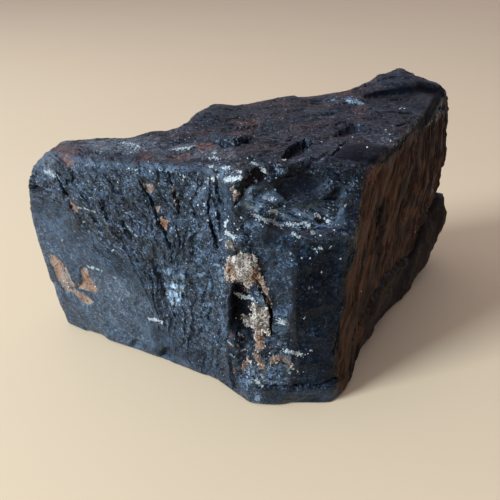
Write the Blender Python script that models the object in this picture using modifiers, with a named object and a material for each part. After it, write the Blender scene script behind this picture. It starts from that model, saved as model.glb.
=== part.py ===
"""A lump of coal, standing on the flat broken face it comes to rest on.

The lump is one natural piece.  Its bulk is roughed out as a few overlapping
blocks, each the convex body that a set of fracture corners spans.  They are
joined, re-meshed to one skin, softened along the arrises and roughened with
two sizes of noise, and the sole is cut off flat at the floor.

Frame: metres, +Z up, origin under the middle of the box, on the floor.
"""

import math

import bmesh
import bpy
from mathutils import Vector, noise

MM = 0.001

# ---------------------------------------------------------------- dimensions
# Corners of the fracture faces, in millimetres from a bench mark on the floor.
# Left is -X, the broad front faces look towards -Y.  Blocks run SUNK below the
# floor, where the sole is cut.

LEFT_WEDGE = [
    # the long left front face, floor to top
    (-84.5, -13.9, 0.0),
    (-23.5, -43.4, 0.0),
    (-2.0, -52.5, 0.0),
    (-88.0, -13.5, 32.0),
    (-90.0, -12.5, 50.0),
    (-89.4, -13.0, 60.0),
    (-85.6, -13.0, 71.0),
    (-80.4, -13.0, 78.0),
    (-75.0, -19.5, 74.0),
    (-50.0, -32.0, 79.5),
    (-22.0, -45.0, 85.5),
    (-2.0, -50.0, 86.6),
    # the thin back of the wedge
    (-82.0, 1.0, 0.0),
    (-86.0, -1.0, 45.0),
    (-77.0, -3.0, 75.5),
    (-62.0, 0.5, 78.0),
    (-74.5, -11.0, 79.8),
    (-58.8, -7.8, 81.6),
    (-47.5, -9.2, 82.2),
    (-35.1, -8.0, 83.0),
    (-62.0, 9.0, 0.0),
    (-28.0, 18.0, 0.0),
    (20.0, -10.0, 0.0),
    (20.0, -10.0, 86.0),
]

FRONT_BLOCK = [
    (-20.5, -43.5, 0.0),
    (-9.0, -54.5, 0.0),
    (-3.0, -59.8, 0.0),
    (24.6, -59.2, 0.0),
    (30.0, -54.0, 0.0),
    (34.0, -46.6, 0.0),
    (46.5, -17.0, 0.0),
    (-8.0, -30.0, 0.0),
    (-8.5, -56.5, 45.0),
    (-7.0, -57.5, 66.0),
    (-9.0, -54.5, 84.0),
    (-4.0, -51.0, 88.0),
    (24.5, -55.0, 62.0),
    (29.5, -49.5, 74.0),
    (28.0, -46.0, 83.0),
    (15.0, -45.0, 87.0),
    (37.0, -34.0, 84.5),
    (36.0, -36.0, 40.0),
    (20.0, -10.0, 86.5),
    (-12.0, -20.0, 86.5),
]

REAR_BLOCK = [
    (-28.0, -10.0, 0.0),
    (-26.0, 14.0, 0.0),
    (6.0, 30.0, 0.0),
    (50.0, 44.0, 0.0),
    (52.1, -12.5, 0.0),
    (37.0, -38.0, 6.0),
    (34.0, -42.0, 0.0),
    (31.5, -44.0, 60.0),
    (29.5, -43.5, 82.0),
    (45.0, -22.0, 85.5),
    (-27.0, -8.0, 83.5),
    (-17.5, 14.0, 86.2),
    (-28.0, 20.0, 40.0),
    (4.0, 35.0, 40.0),
    (10.6, 19.2, 89.4),
    (32.7, 24.5, 89.9),
    (84.5, 44.0, 86.8),
    (87.5, 43.0, 76.0),
    (86.0, 36.0, 62.0),
    (81.5, 24.5, 50.0),
    (74.0, 50.0, 60.0),
    (80.0, 46.0, 30.0),
]

RIGHT_FOOT = [
    (50.0, -14.0, 0.0),
    (52.1, -12.5, 0.0),
    (74.9, 16.0, 0.0),
    (84.0, 25.0, 12.0),
    (92.4, 36.4, 28.0),
    (90.0, 38.0, 38.0),
    (78.0, 47.0, 0.0),
    (50.0, 44.5, 0.0),
    (84.0, 50.0, 30.0),
    (55.0, 20.0, 45.0),
    (45.0, -5.0, 20.0),
    (40.0, 20.0, 0.0),
    (60.0, 48.0, 40.0),
]

BACK_LEDGE = [
    (34.7, 24.9, 90.6),
    (49.0, 34.9, 92.4),
    (60.5, 40.6, 96.9),
    (70.5, 42.7, 92.8),
    (79.0, 41.9, 90.2),
    (84.0, 44.0, 87.0),
    (50.0, 20.0, 89.0),
    (64.0, 22.0, 88.5),
    (80.0, 36.0, 86.5),
    (40.0, 24.0, 70.0),
    (74.0, 30.0, 70.0),
    (80.0, 44.0, 70.0),
    (66.0, 51.0, 64.0),
    (46.0, 40.0, 66.0),
]

# The upright cleft where the left slab has parted from the front block.
CLEFT = [
    (-9.5, -64.0, 52.0),
    (-2.0, -64.0, 56.0),
    (0.5, -64.0, 30.0),
    (-1.5, -64.0, 8.0),
    (-8.5, -64.0, 6.0),
    (-9.5, -52.5, 48.0),
    (-6.0, -50.5, 40.0),
    (-6.0, -50.5, 16.0),
    (-9.0, -52.0, 9.0),
]

SUNK = 1.0  # mm that the rough underside reaches below the floor before the cut
SKIN = 2.0  # mm, cell of the skin that the joined blocks get
SOFTEN = 3  # passes that take the sharpness off the arrises
FILL = 0.9  # mm given back to the skin for what the softening takes off
GRAIN = Vector((0.25, -0.1, 0.96)).normalized()  # the fibre runs nearly upright

# relief: (wavelength mm, height mm)
SWELL = (34.0, 0.8)
CHIPS = ((19.0, 0.5), (9.0, 0.26))
FIBRE = (6.0, 0.3)

TRIANGLES = 9000
COAL = (0.016, 0.017, 0.020, 1.0)


def clear_scene():
    for old in list(bpy.data.objects):
        bpy.data.objects.remove(old, do_unlink=True)


def collection(name):
    made = bpy.data.collections.new(name)
    bpy.context.scene.collection.children.link(made)
    return made


def hull_block(name, corners, target):
    """The convex body that the corners span; corners on the floor are sunk."""
    bm = bmesh.new()
    for x, y, z in corners:
        bm.verts.new((x * MM, y * MM, (z if z > 0.0 else -SUNK) * MM))
    found = bmesh.ops.convex_hull(bm, input=bm.verts, use_existing_faces=False)
    inside = {g for g in found["geom_interior"] if isinstance(g, bmesh.types.BMVert)}
    bmesh.ops.delete(bm, geom=list(inside), context="VERTS")
    bmesh.ops.recalc_face_normals(bm, faces=bm.faces)
    mesh = bpy.data.meshes.new(name)
    bm.to_mesh(mesh)
    bm.free()
    made = bpy.data.objects.new(name, mesh)
    target.objects.link(made)
    return made


def settle(obj):
    """Replaces the object's mesh by what its modifiers make of it."""
    graph = bpy.context.evaluated_depsgraph_get()
    mesh = bpy.data.meshes.new_from_object(obj.evaluated_get(graph))
    obj.modifiers.clear()
    obj.data = mesh
    return mesh


def cell_height(point, size, seed):
    """A chipped surface: each cell of a scatter of points has its own level and tilt."""
    where = point / size + Vector((seed, seed * 0.7, -seed))
    distances, centres = noise.voronoi(where)
    level = noise.cell(centres[0] * 7.31)
    lean = noise.cell_vector(centres[0] * 3.17) - Vector((0.5, 0.5, 0.5))
    edge = min(1.0, (distances[1] - distances[0]) / 0.12)
    return (level - 0.5 + lean.dot(where - centres[0]) * 1.2) * edge


def relief(point, normal):
    """Height in millimetres that the rough skin adds at a point given in millimetres."""
    high = SWELL[1] * noise.noise(point / SWELL[0] + Vector((3.1, 0.4, 7.7)))
    for index, (size, height) in enumerate(CHIPS):
        high += height * cell_height(point, size, 5.3 + 11.0 * index)
    # the end grain of the fibre shows as upright ribs on the steep right face
    along = point - GRAIN * point.dot(GRAIN) * 0.93
    share = max(0.0, min(1.0, (normal.x - 0.45) / 0.3))
    high += share * FIBRE[1] * noise.noise(along / FIBRE[0] + Vector((9.0, 2.0, 4.0)))
    return high


def roughen(mesh):
    """Moves the skin along its normals by the relief."""
    mesh.update()
    moved = []
    for vertex in mesh.vertices:
        point = vertex.co / MM
        moved.append(vertex.co + vertex.normal * relief(point, vertex.normal) * MM)
    for vertex, place in zip(mesh.vertices, moved):
        vertex.co = place
    mesh.update()


def cut_sole(mesh):
    """Cuts the skin off flat at the floor and closes it."""
    bm = bmesh.new()
    bm.from_mesh(mesh)
    everything = bm.verts[:] + bm.edges[:] + bm.faces[:]
    cut = bmesh.ops.bisect_plane(
        bm,
        geom=everything,
        dist=1e-6,
        plane_co=(0.0, 0.0, 0.0),
        plane_no=(0.0, 0.0, 1.0),
        clear_inner=True,
    )
    rim = [g for g in cut["geom_cut"] if isinstance(g, bmesh.types.BMEdge)]
    bmesh.ops.triangle_fill(bm, edges=rim, use_beauty=True, use_dissolve=False)
    bmesh.ops.triangulate(bm, faces=bm.faces)
    bmesh.ops.remove_doubles(bm, verts=bm.verts, dist=0.02 * MM)
    bmesh.ops.recalc_face_normals(bm, faces=bm.faces)
    bm.to_mesh(mesh)
    bm.free()


def centre_on_origin(mesh):
    """Puts the middle of the box over the origin."""
    xs = [v.co.x for v in mesh.vertices]
    ys = [v.co.y for v in mesh.vertices]
    shift = Vector(((min(xs) + max(xs)) / 2, (min(ys) + max(ys)) / 2, 0.0))
    for vertex in mesh.vertices:
        vertex.co -= shift
    mesh.update()
    print("bench mark to origin, mm:", [round(c / MM, 3) for c in shift])


def coal_material():
    made = bpy.data.materials.new("coal")
    made.use_nodes = True
    shader = made.node_tree.nodes["Principled BSDF"]
    shader.inputs["Base Color"].default_value = COAL
    shader.inputs["Roughness"].default_value = 0.38
    shader.inputs["Metallic"].default_value = 0.0
    made.diffuse_color = COAL
    return made


def main():
    clear_scene()
    whole = collection("coal_lump_parts")
    helpers = collection("coal_lump_helpers")

    lump = hull_block("coal_lump", LEFT_WEDGE, whole)
    for name, corners in (
        ("front_block", FRONT_BLOCK),
        ("rear_block", REAR_BLOCK),
        ("right_foot", RIGHT_FOOT),
        ("back_ledge", BACK_LEDGE),
    ):
        block = hull_block(name, corners, helpers)
        block.hide_render = True
        block.display_type = "WIRE"
        join = lump.modifiers.new("join_" + name, "BOOLEAN")
        join.operation = "UNION"
        join.object = block
    cleft = hull_block("cleft", CLEFT, helpers)
    cleft.hide_render = True
    cleft.display_type = "WIRE"
    cut = lump.modifiers.new("cut_cleft", "BOOLEAN")
    cut.operation = "DIFFERENCE"
    cut.object = cleft
    skin = lump.modifiers.new("skin", "REMESH")
    skin.mode = "VOXEL"
    skin.voxel_size = SKIN * MM
    soften = lump.modifiers.new("soften", "SMOOTH")
    soften.factor = 0.5
    soften.iterations = SOFTEN
    fill = lump.modifiers.new("fill", "DISPLACE")
    fill.strength = FILL * MM
    fill.mid_level = 0.0
    mesh = settle(lump)

    roughen(mesh)
    thin = lump.modifiers.new("thin", "DECIMATE")
    quads = len(mesh.polygons)
    thin.ratio = min(1.0, TRIANGLES / (2.0 * quads))
    thin.use_collapse_triangulate = True
    mesh = settle(lump)
    cut_sole(mesh)
    centre_on_origin(mesh)

    mesh.materials.clear()
    mesh.materials.append(coal_material())
    mesh.shade_smooth()
    mesh.set_sharp_from_angle(angle=math.radians(35.0))


main()
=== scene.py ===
"""The looks of the coal lump: its broken surface as a fine mesh, its mineral crusts, floor, light and camera."""

import math

import bmesh
import bpy
import numpy as np
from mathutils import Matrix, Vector


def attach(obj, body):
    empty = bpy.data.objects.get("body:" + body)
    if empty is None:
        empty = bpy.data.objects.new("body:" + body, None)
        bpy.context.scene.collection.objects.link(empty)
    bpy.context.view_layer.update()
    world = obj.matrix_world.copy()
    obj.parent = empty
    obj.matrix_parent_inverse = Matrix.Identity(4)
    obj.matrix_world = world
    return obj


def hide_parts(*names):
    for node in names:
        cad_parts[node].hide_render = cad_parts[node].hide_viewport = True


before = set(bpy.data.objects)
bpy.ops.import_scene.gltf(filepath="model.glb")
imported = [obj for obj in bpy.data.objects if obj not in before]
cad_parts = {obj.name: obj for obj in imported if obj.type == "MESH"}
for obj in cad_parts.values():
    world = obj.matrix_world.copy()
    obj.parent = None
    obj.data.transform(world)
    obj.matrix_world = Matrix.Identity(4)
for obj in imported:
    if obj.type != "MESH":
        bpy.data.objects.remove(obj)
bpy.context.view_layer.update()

MM = 0.001

# ------------------------------------------------------------------ the camera
CAM_MM = np.array([-5.752, -180.033, 140.0])
PITCH = math.radians(31.0)
FOCAL_PX = 500.0
FWD = np.array([0.0, math.cos(PITCH), -math.sin(PITCH)])
UP = np.array([0.0, math.sin(PITCH), math.cos(PITCH)])


def project(p):
    """Image place (u, v), in a 500 x 500 frame, of points given in mm."""
    d = p - CAM_MM
    z = d @ FWD
    return 250.0 + FOCAL_PX * d[:, 0] / z, 250.0 - FOCAL_PX * (d @ UP) / z


# ------------------------------------------------------------------ noise in numpy
def smooth(a, lo, hi):
    t = np.clip((a - lo) / (hi - lo), 0.0, 1.0)
    return t * t * (3.0 - 2.0 * t)


def mix(a, b, t):
    return a + (b - a) * t


def hashed(ix, iy, iz, seed):
    """Four repeatable random numbers in 0..1 for each integer cell."""
    h = (ix.astype(np.int64) * 374761393 + iy.astype(np.int64) * 668265263 + iz.astype(np.int64) * 1103515245 + seed * 144665 + 977) & 0xFFFFFFFF
    out = []
    for k in range(4):
        h = ((h ^ (h >> 15)) * 2246822519) & 0xFFFFFFFF
        h = ((h ^ (h >> 13)) * 3266489917 + k * 7919) & 0xFFFFFFFF
        h = h ^ (h >> 16)
        out.append((h & 0xFFFFFF) / float(0xFFFFFF))
    return out


def perlin(p, seed=0):
    """Gradient noise, about -1..1, at points in cell units."""
    i = np.floor(p).astype(np.int64)
    f = p - i
    w = f * f * f * (f * (f * 6 - 15) + 10)
    total = np.zeros(len(p))
    for dx in (0, 1):
        wx = w[:, 0] if dx else 1 - w[:, 0]
        for dy in (0, 1):
            wy = w[:, 1] if dy else 1 - w[:, 1]
            for dz in (0, 1):
                wz = w[:, 2] if dz else 1 - w[:, 2]
                a, b, c, _ = hashed(i[:, 0] + dx, i[:, 1] + dy, i[:, 2] + dz, seed)
                g = (a * 2 - 1) * (f[:, 0] - dx) + (b * 2 - 1) * (f[:, 1] - dy) + (c * 2 - 1) * (f[:, 2] - dz)
                total += wx * wy * wz * g
    return total * 1.6


def fbm(p, seed=0, octaves=3, gain=0.5):
    total, high, amp = np.zeros(len(p)), 1.0, 1.0
    for k in range(octaves):
        total += amp * perlin(p * high + 17.3 * k, seed + 31 * k)
        high *= 2.03
        amp *= gain
    return total


def chips(p, seed=0, bowl=0.55, lean=1.6):
    """Continuous facets: the lower envelope of leaning shallow bowls, so neighbours meet in sharp ridges."""
    i = np.floor(p).astype(np.int64)
    best = np.full(len(p), 1e9)
    for dx in (-1, 0, 1):
        for dy in (-1, 0, 1):
            for dz in (-1, 0, 1):
                c = i + np.array([dx, dy, dz])
                a, b, d, e = hashed(c[:, 0], c[:, 1], c[:, 2], seed)
                g = hashed(c[:, 0], c[:, 1], c[:, 2], seed + 5)
                off = p - (c + 0.15 + 0.7 * np.stack([a, b, d], 1))
                r2 = np.einsum("ij,ij->i", off, off)
                tilt = lean * ((g[0] - 0.5) * off[:, 0] + (g[1] - 0.5) * off[:, 1] + (g[2] - 0.5) * off[:, 2])
                best = np.minimum(best, r2 * bowl * 2.2 + tilt + 0.4 * (e - 0.5))
    return best - 0.15


# ------------------------------------------------------------------ drawing on the surface
class Draw:
    """Strokes and patches given in image places, as fields over the points of the surface."""

    def __init__(self, p, seen, wobble=1.0):
        u, v = project(p)
        self.seen = seen
        self.u = u + wobble * (1.5 * perlin(p / 4.0, 901) + 0.9 * perlin(p / 1.7, 902))
        self.v = v + wobble * (1.5 * perlin(p / 4.0, 903) + 0.9 * perlin(p / 1.7, 904))

    def stroke(self, pts, soft=0.9):
        """0..1 on a line of (u, v, half width)."""
        best = np.full(len(self.u), -1e9)
        for (x0, y0, w0), (x1, y1, w1) in zip(pts, pts[1:]):
            dx, dy = x1 - x0, y1 - y0
            t = np.clip(((self.u - x0) * dx + (self.v - y0) * dy) / (dx * dx + dy * dy), 0, 1)
            d = np.hypot(self.u - (x0 + t * dx), self.v - (y0 + t * dy))
            best = np.maximum(best, w0 + t * (w1 - w0) - d)
        return smooth(best, -soft, soft) * self.seen

    def depth(self, pts):
        """Signed distance to an outline in image units, positive inside."""
        u, v = self.u, self.v
        near = np.full(len(u), 1e9)
        odd = np.zeros(len(u), bool)
        for (x0, y0), (x1, y1) in zip(pts, pts[1:] + pts[:1]):
            dx, dy = x1 - x0, y1 - y0
            t = np.clip(((u - x0) * dx + (v - y0) * dy) / (dx * dx + dy * dy + 1e-9), 0, 1)
            near = np.minimum(near, np.hypot(u - (x0 + t * dx), v - (y0 + t * dy)))
            cross = ((y0 > v) != (y1 > v)) & (u < (x1 - x0) * (v - y0) / (y1 - y0 + 1e-12) + x0)
            odd ^= cross
        return np.where(odd, near, -near)

    def patch(self, pts, soft=1.5):
        return smooth(self.depth(pts), -soft, soft) * self.seen

    def blob(self, u0, v0, ru, rv, turn=0.0, soft=0.35):
        c, s = math.cos(math.radians(turn)), math.sin(math.radians(turn))
        x, y = self.u - u0, self.v - v0
        r = np.hypot((x * c + y * s) / ru, (-x * s + y * c) / rv)
        return smooth(1.0 - r, -soft, soft) * self.seen


# outlines of the regions and features, in image places
BROWN = [
    (449, 80), (446, 96), (441, 110), (437, 122), (425, 128), (412, 133), (404, 144), (395.6, 154), (386, 163.5), (378, 165), (366, 171.5), (362, 191.6), (359.5, 223.7),
    (356.8, 250.5), (347.4, 277), (340.7, 317.5), (337, 345), (335, 380), (341, 394), (356, 382), (362, 345), (366, 326), (375.5, 297.4),
    (389, 274.6), (409, 257), (418.4, 237), (422.4, 215.7), (437, 199.6), (447, 185), (456, 150), (456, 100),
]
RIGHT_SIDE = [
    (452, 100), (446, 100), (441, 110), (437, 122), (425, 128), (412, 133), (404, 144), (395.6, 154), (386, 163.5), (378, 165), (366, 171.5), (362, 191.6), (359.5, 223.7),
    (356.8, 250.5), (347.4, 277), (340.7, 317.5), (337, 345), (335, 380), (341, 400), (400, 400), (480, 300), (480, 100),
]
MASS = [
    (437, 199.6), (422.4, 215.7), (418.4, 237), (409, 257), (389, 274.6), (375.5, 297.4), (363.5, 322.8), (366, 340), (400, 330), (440, 270),
    (460, 215), (450, 197),
]
SLAB = [
    (10, 150), (60, 152), (110, 158), (160, 163), (205, 168), (222, 184), (232, 200), (228, 225), (230, 262), (232, 292), (228, 330),
    (230, 373), (236, 410), (200, 400), (60, 350), (10, 250),
]
SLAB_SMOOTH = [
    (0, 222), (36, 208), (56, 214), (74, 236), (96, 254), (118, 266), (134, 280), (142, 300), (152, 324), (168, 345), (188, 362),
    (210, 380), (236, 420), (200, 410), (60, 360), (0, 310),
]
CLAY_TOP = [
    (226, 264), (231, 258), (240, 254), (249, 251), (256, 256), (259, 264), (261, 272), (266, 283), (270, 300), (269, 301), (263.5, 289),
    (256, 281), (252, 286), (246.4, 290.5), (242.6, 283), (235, 282), (229.6, 284), (224, 276),
]
CLAY_LOW = [
    (248.7, 305), (254, 302), (261, 307.3), (267, 309.6), (269.8, 316.5), (270, 323.4), (267.8, 328), (271, 334), (268.6, 335.6), (263, 332.6),
    (262, 340), (255.6, 338.7), (255.6, 331.8), (254, 325.7), (245.7, 326.5), (243.4, 316.5), (247, 315.7), (251, 318.8), (253, 313.5),
]
CLAY_CHIP = [(224.5, 241), (228, 240), (232, 245), (236, 251), (233, 252), (227, 247)]
CLAY_STRIP = [(255.4, 333), (262.5, 333), (263.2, 342), (263.8, 350), (259, 352), (255.2, 349), (256, 341)]
CLAY_ARC = [(240.5, 371), (243.5, 362), (248, 359.5), (253, 362), (247.5, 364.5), (243.5, 370)]
CLAY_ARCH = [(269, 358.5), (275, 355), (284.5, 356), (289, 360), (292, 367), (289.5, 366), (286, 362.4), (279, 360), (275, 362.5), (270, 364)]
CLAY_ARM = [(255, 352), (260, 356), (266, 369), (263.5, 371), (258, 362), (254, 356)]
CLAY_LEFT_A = [(47, 254), (55, 255), (63, 262), (68, 272), (72, 281), (77, 289), (72, 293), (65, 292), (59, 281), (53, 268)]
CLAY_LEFT_B = [(80, 267), (84, 267), (88, 272), (93, 281), (98, 291), (96, 296), (90, 292), (84, 290), (78, 288), (82, 280)]
CLAY_LEFT_C = [(71, 288), (80, 291), (88, 297), (94, 303), (88, 305), (80, 300), (74, 294)]
RECESS = [
    (232, 289), (238, 284), (246, 291), (250, 296), (247, 303), (252, 311), (252, 320), (254, 330), (255, 345), (252, 360), (243, 362),
    (238, 373), (232, 375), (229.5, 350), (229, 330), (230, 310),
]
BLUE_FACET = [(246, 292), (252, 287), (258, 288), (264, 296), (268, 306), (266, 309), (258, 304), (250, 300)]
PIT_A = [(283, 157.5), (286, 151.5), (290, 148), (297, 143.7), (305, 141.2), (313, 144), (306, 149), (297, 153.7), (288, 157)]
PIT_B = [(335, 134.5), (342, 128), (351, 124.3), (357, 124.2), (366, 127.5), (357, 130), (347, 133.3), (339, 135)]
GASH = [(287, 178), (290, 173.5), (296, 169), (303, 166), (312, 163), (311, 168), (304, 172.5), (296, 175.5)]
NOTCH = [
    (234, 205), (236, 197), (238.5, 190), (243, 184), (247, 179), (251, 172), (256, 169), (261, 168.5), (266, 173), (267.5, 179), (259, 181.5),
    (251, 185), (246, 191), (243, 197), (239, 201),
]
TOP_LINES = [  # depth, places with half widths
    (1.7, [(215, 142, 0.4), (222, 143.4, 1.1), (234, 142.8, 0.9), (241, 140, 1.3), (249, 138.8, 1.0), (257, 138.7, 0.4)]),
    (1.3, [(270, 145.5, 0.4), (276, 144, 0.9), (284, 141.5, 0.8), (292, 138.5, 0.4)]),
    (1.0, [(250, 158.5, 0.4), (257, 156, 0.7), (263, 152.4, 0.8), (276, 148, 0.5), (288, 144, 0.3)]),
    (1.5, [(332.5, 155.5, 0.4), (338, 149.5, 1.0), (343.5, 144, 1.2), (345, 142, 0.4)]),
    (1.0, [(168, 154, 0.4), (182, 154, 0.9), (197, 150.5, 0.7)]),
    (1.0, [(116, 153, 0.4), (134, 152.5, 0.9), (152, 150, 0.6)]),
    (0.9, [(80, 150, 0.4), (98, 153, 0.8), (112, 153, 0.5)]),
    (1.0, [(336, 123.8, 0.4), (341, 122.6, 0.9), (346, 121.5, 0.4)]),
    (0.9, [(317, 126.4, 0.4), (322, 125.4, 0.9), (328, 124.6, 0.4)]),
    (0.9, [(398, 124, 0.4), (404, 123, 0.8), (410, 121, 0.4)]),
    (0.9, [(314, 160, 0.6), (324, 155, 0.7), (330, 152, 0.4)]),
    (0.8, [(288, 112, 0.4), (296, 111, 0.8), (306, 109, 0.4)]),
    (0.8, [(236, 158, 0.4), (244, 156.5, 0.8), (250, 155, 0.4)]),
    (0.8, [(365, 118, 0.4), (374, 116, 0.8), (384, 114.5, 0.4)]),
    (0.8, [(300, 133, 0.4), (312, 131, 0.8), (322, 128.5, 0.4)]),
    (0.8, [(268, 130, 0.4), (280, 127.5, 0.7), (290, 126, 0.4)]),
]
BACK_HOLLOW = [
    (366.5, 95.6), (378, 91), (390.5, 89), (413.5, 83.5), (428, 84), (441, 88), (438, 96), (420, 94), (406, 99), (390, 100), (375, 100),
]
FLAP = [(274, 163), (280, 160.5), (285, 166), (288.5, 171), (289, 176), (280, 176.5), (276, 170)]
BULGE = [(238, 197), (248, 187), (262, 185), (272, 192), (282, 204), (300, 207), (322, 200), (340, 190), (346, 205), (338, 225), (318, 236), (290, 232), (262, 222), (243, 212)]
FACET_R = [(332.5, 157), (344, 145), (366, 143), (397, 148), (394, 154), (386, 160), (369, 164), (348, 160)]
BEVEL = [(236, 390), (262, 389), (290, 390), (320, 389), (338, 381), (352, 372), (350, 400), (300, 420), (230, 420)]
EDGE = [(443, 88, 4), (436, 100, 5), (428, 116, 5), (411.7, 139, 6), (395.6, 154, 6), (386, 163.5, 6), (366, 171.5, 6), (362, 191.6, 4), (359.5, 223.7, 3), (356.8, 250.5, 3)]
CRYSTAL = [(165, 293), (168, 283), (173, 275), (178, 284), (186, 287), (184, 296), (181, 304), (175, 308), (169, 302)]
CRACKS = [  # depth, height of the lip on its left, places with half widths
    (2.6, 0.35, [(140, 180, 0.3), (145, 189, 0.9), (152, 202, 1.3), (157, 214, 1.0), (162, 227, 1.3), (167, 240, 0.8), (169, 250, 0.3)]),
    (2.2, 0.30, [(168, 172, 0.3), (171, 181, 0.9), (174, 192, 1.3), (177, 206, 1.1), (178, 214, 0.4)]),
    (1.2, 0.20, [(177, 226, 0.4), (179, 236, 0.9), (180, 248, 0.4)]),
    (2.0, 0.30, [(56, 178, 0.3), (62, 186, 0.9), (67, 196, 1.4), (71, 208, 1.1)]),
    (1.4, 0.20, [(101, 203, 0.5), (104, 212, 1.0), (108, 224, 0.5)]),
    (1.4, 0.20, [(122, 222, 0.4), (126, 231, 1.0), (131, 238, 0.5)]),
    (1.8, 0.25, [(208, 194, 0.4), (209, 214, 1.1), (213, 233, 1.4), (216, 250, 0.8)]),
    (1.4, 0.20, [(216, 205, 0.4), (218, 222, 0.9), (221, 246, 0.7)]),
    (2.2, 0.00, [(29, 186, 1.2), (36, 187, 1.6), (43, 189, 1.0)]),
    (3.6, 0.30, [(252, 278, 0.4), (258, 286, 0.9), (264, 293, 1.1), (269, 302, 1.4), (271.5, 313, 1.5), (271, 333, 1.2)]),
]
PITSTRIP = [(379, 203), (384, 209), (382, 219), (386, 230), (383, 243), (384, 254), (379, 256), (377, 244), (379, 233), (376, 222), (378, 212)]


def ledges(w, crisp=0.78):
    """A saw-tooth of ledges: a sharp rise at each whole number of w, then a slow fall, in -1..0."""
    k = np.floor(w)
    return k + smooth(w - k, crisp, 1.0) - w


def grain_ways(p, u, v):
    """Coordinates (mm) across the grain of each face: slanting on the slab, fanned and upright on the fibre face, upright behind."""
    slab = 0.33 * (u - np.interp(u, [40, 60, 150, 178, 225], [0.52, 0.5, 0.42, 0.16, 0.06]) * (v - 190.0))
    s = p[:, 0] * 0.4855 + p[:, 1] * 0.874
    face = s - (0.12 * p[:, 2] + 0.0016 * p[:, 2] ** 2)
    behind = p[:, 0] * 0.9 + 0.25 * p[:, 2]
    return slab, face, behind


def stretched(a, b, c):
    return np.stack([a, b, c], 1)


class Zones:
    """How far each part of the surface belongs to each kind of breakage, 0..1."""

    def __init__(self, p, n):
        self.u, self.v = project(p)
        to_cam = CAM_MM - p
        to_cam /= np.linalg.norm(to_cam, axis=1, keepdims=True)
        self.seen = smooth(np.einsum("ij,ij->i", n, to_cam), -0.15, 0.02)
        d = self.d = Draw(p, self.seen)
        self.fine = Draw(p, self.seen, 0.45)
        self.hidden = 1 - self.seen
        self.top = smooth(n[:, 2], 0.5, 0.8)
        self.brown = d.patch(BROWN, 2.0) * (1 - smooth(n[:, 2], 0.45, 0.7))
        self.mass = d.patch(MASS, 1.5)
        self.slab = d.patch(SLAB, 3.0)
        self.calm = d.patch(SLAB_SMOOTH, 15.0)
        self.bowl = d.blob(300, 186, 27, 12, -4)
        self.facet = d.patch(FACET_R, 2.0)
        self.bevel = d.patch(BEVEL, 1.2)
        self.bulge = d.patch(BULGE, 4.0)
        self.front = np.clip(self.seen - self.slab - self.brown - self.mass - self.top, 0, 1)
        self.layered = self.front * smooth(self.u, 288, 298) * smooth(self.v, 232, 250)
        self.edge = smooth(Draw(p, 1.0, 0.5).stroke(EDGE, 5.0), 0.0, 1.0)
        self.crystal = d.patch(CRYSTAL, 3.0)
        self.flat_top = smooth(n[:, 2], 0.75, 0.93)
        self.ribbed = d.patch(BROWN, 2.0) * (1 - smooth(n[:, 2], 0.16, 0.45))
        self.far_top = self.top * smooth(p[:, 1], -5, 15)


def only(mask, make):
    """mask times make(rows), worked out only on the rows where there is any mask."""
    rows = np.nonzero(mask > 0.004)[0]
    out = np.zeros(len(mask))
    if len(rows):
        out[rows] = mask[rows] * make(rows)
    return out


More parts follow.
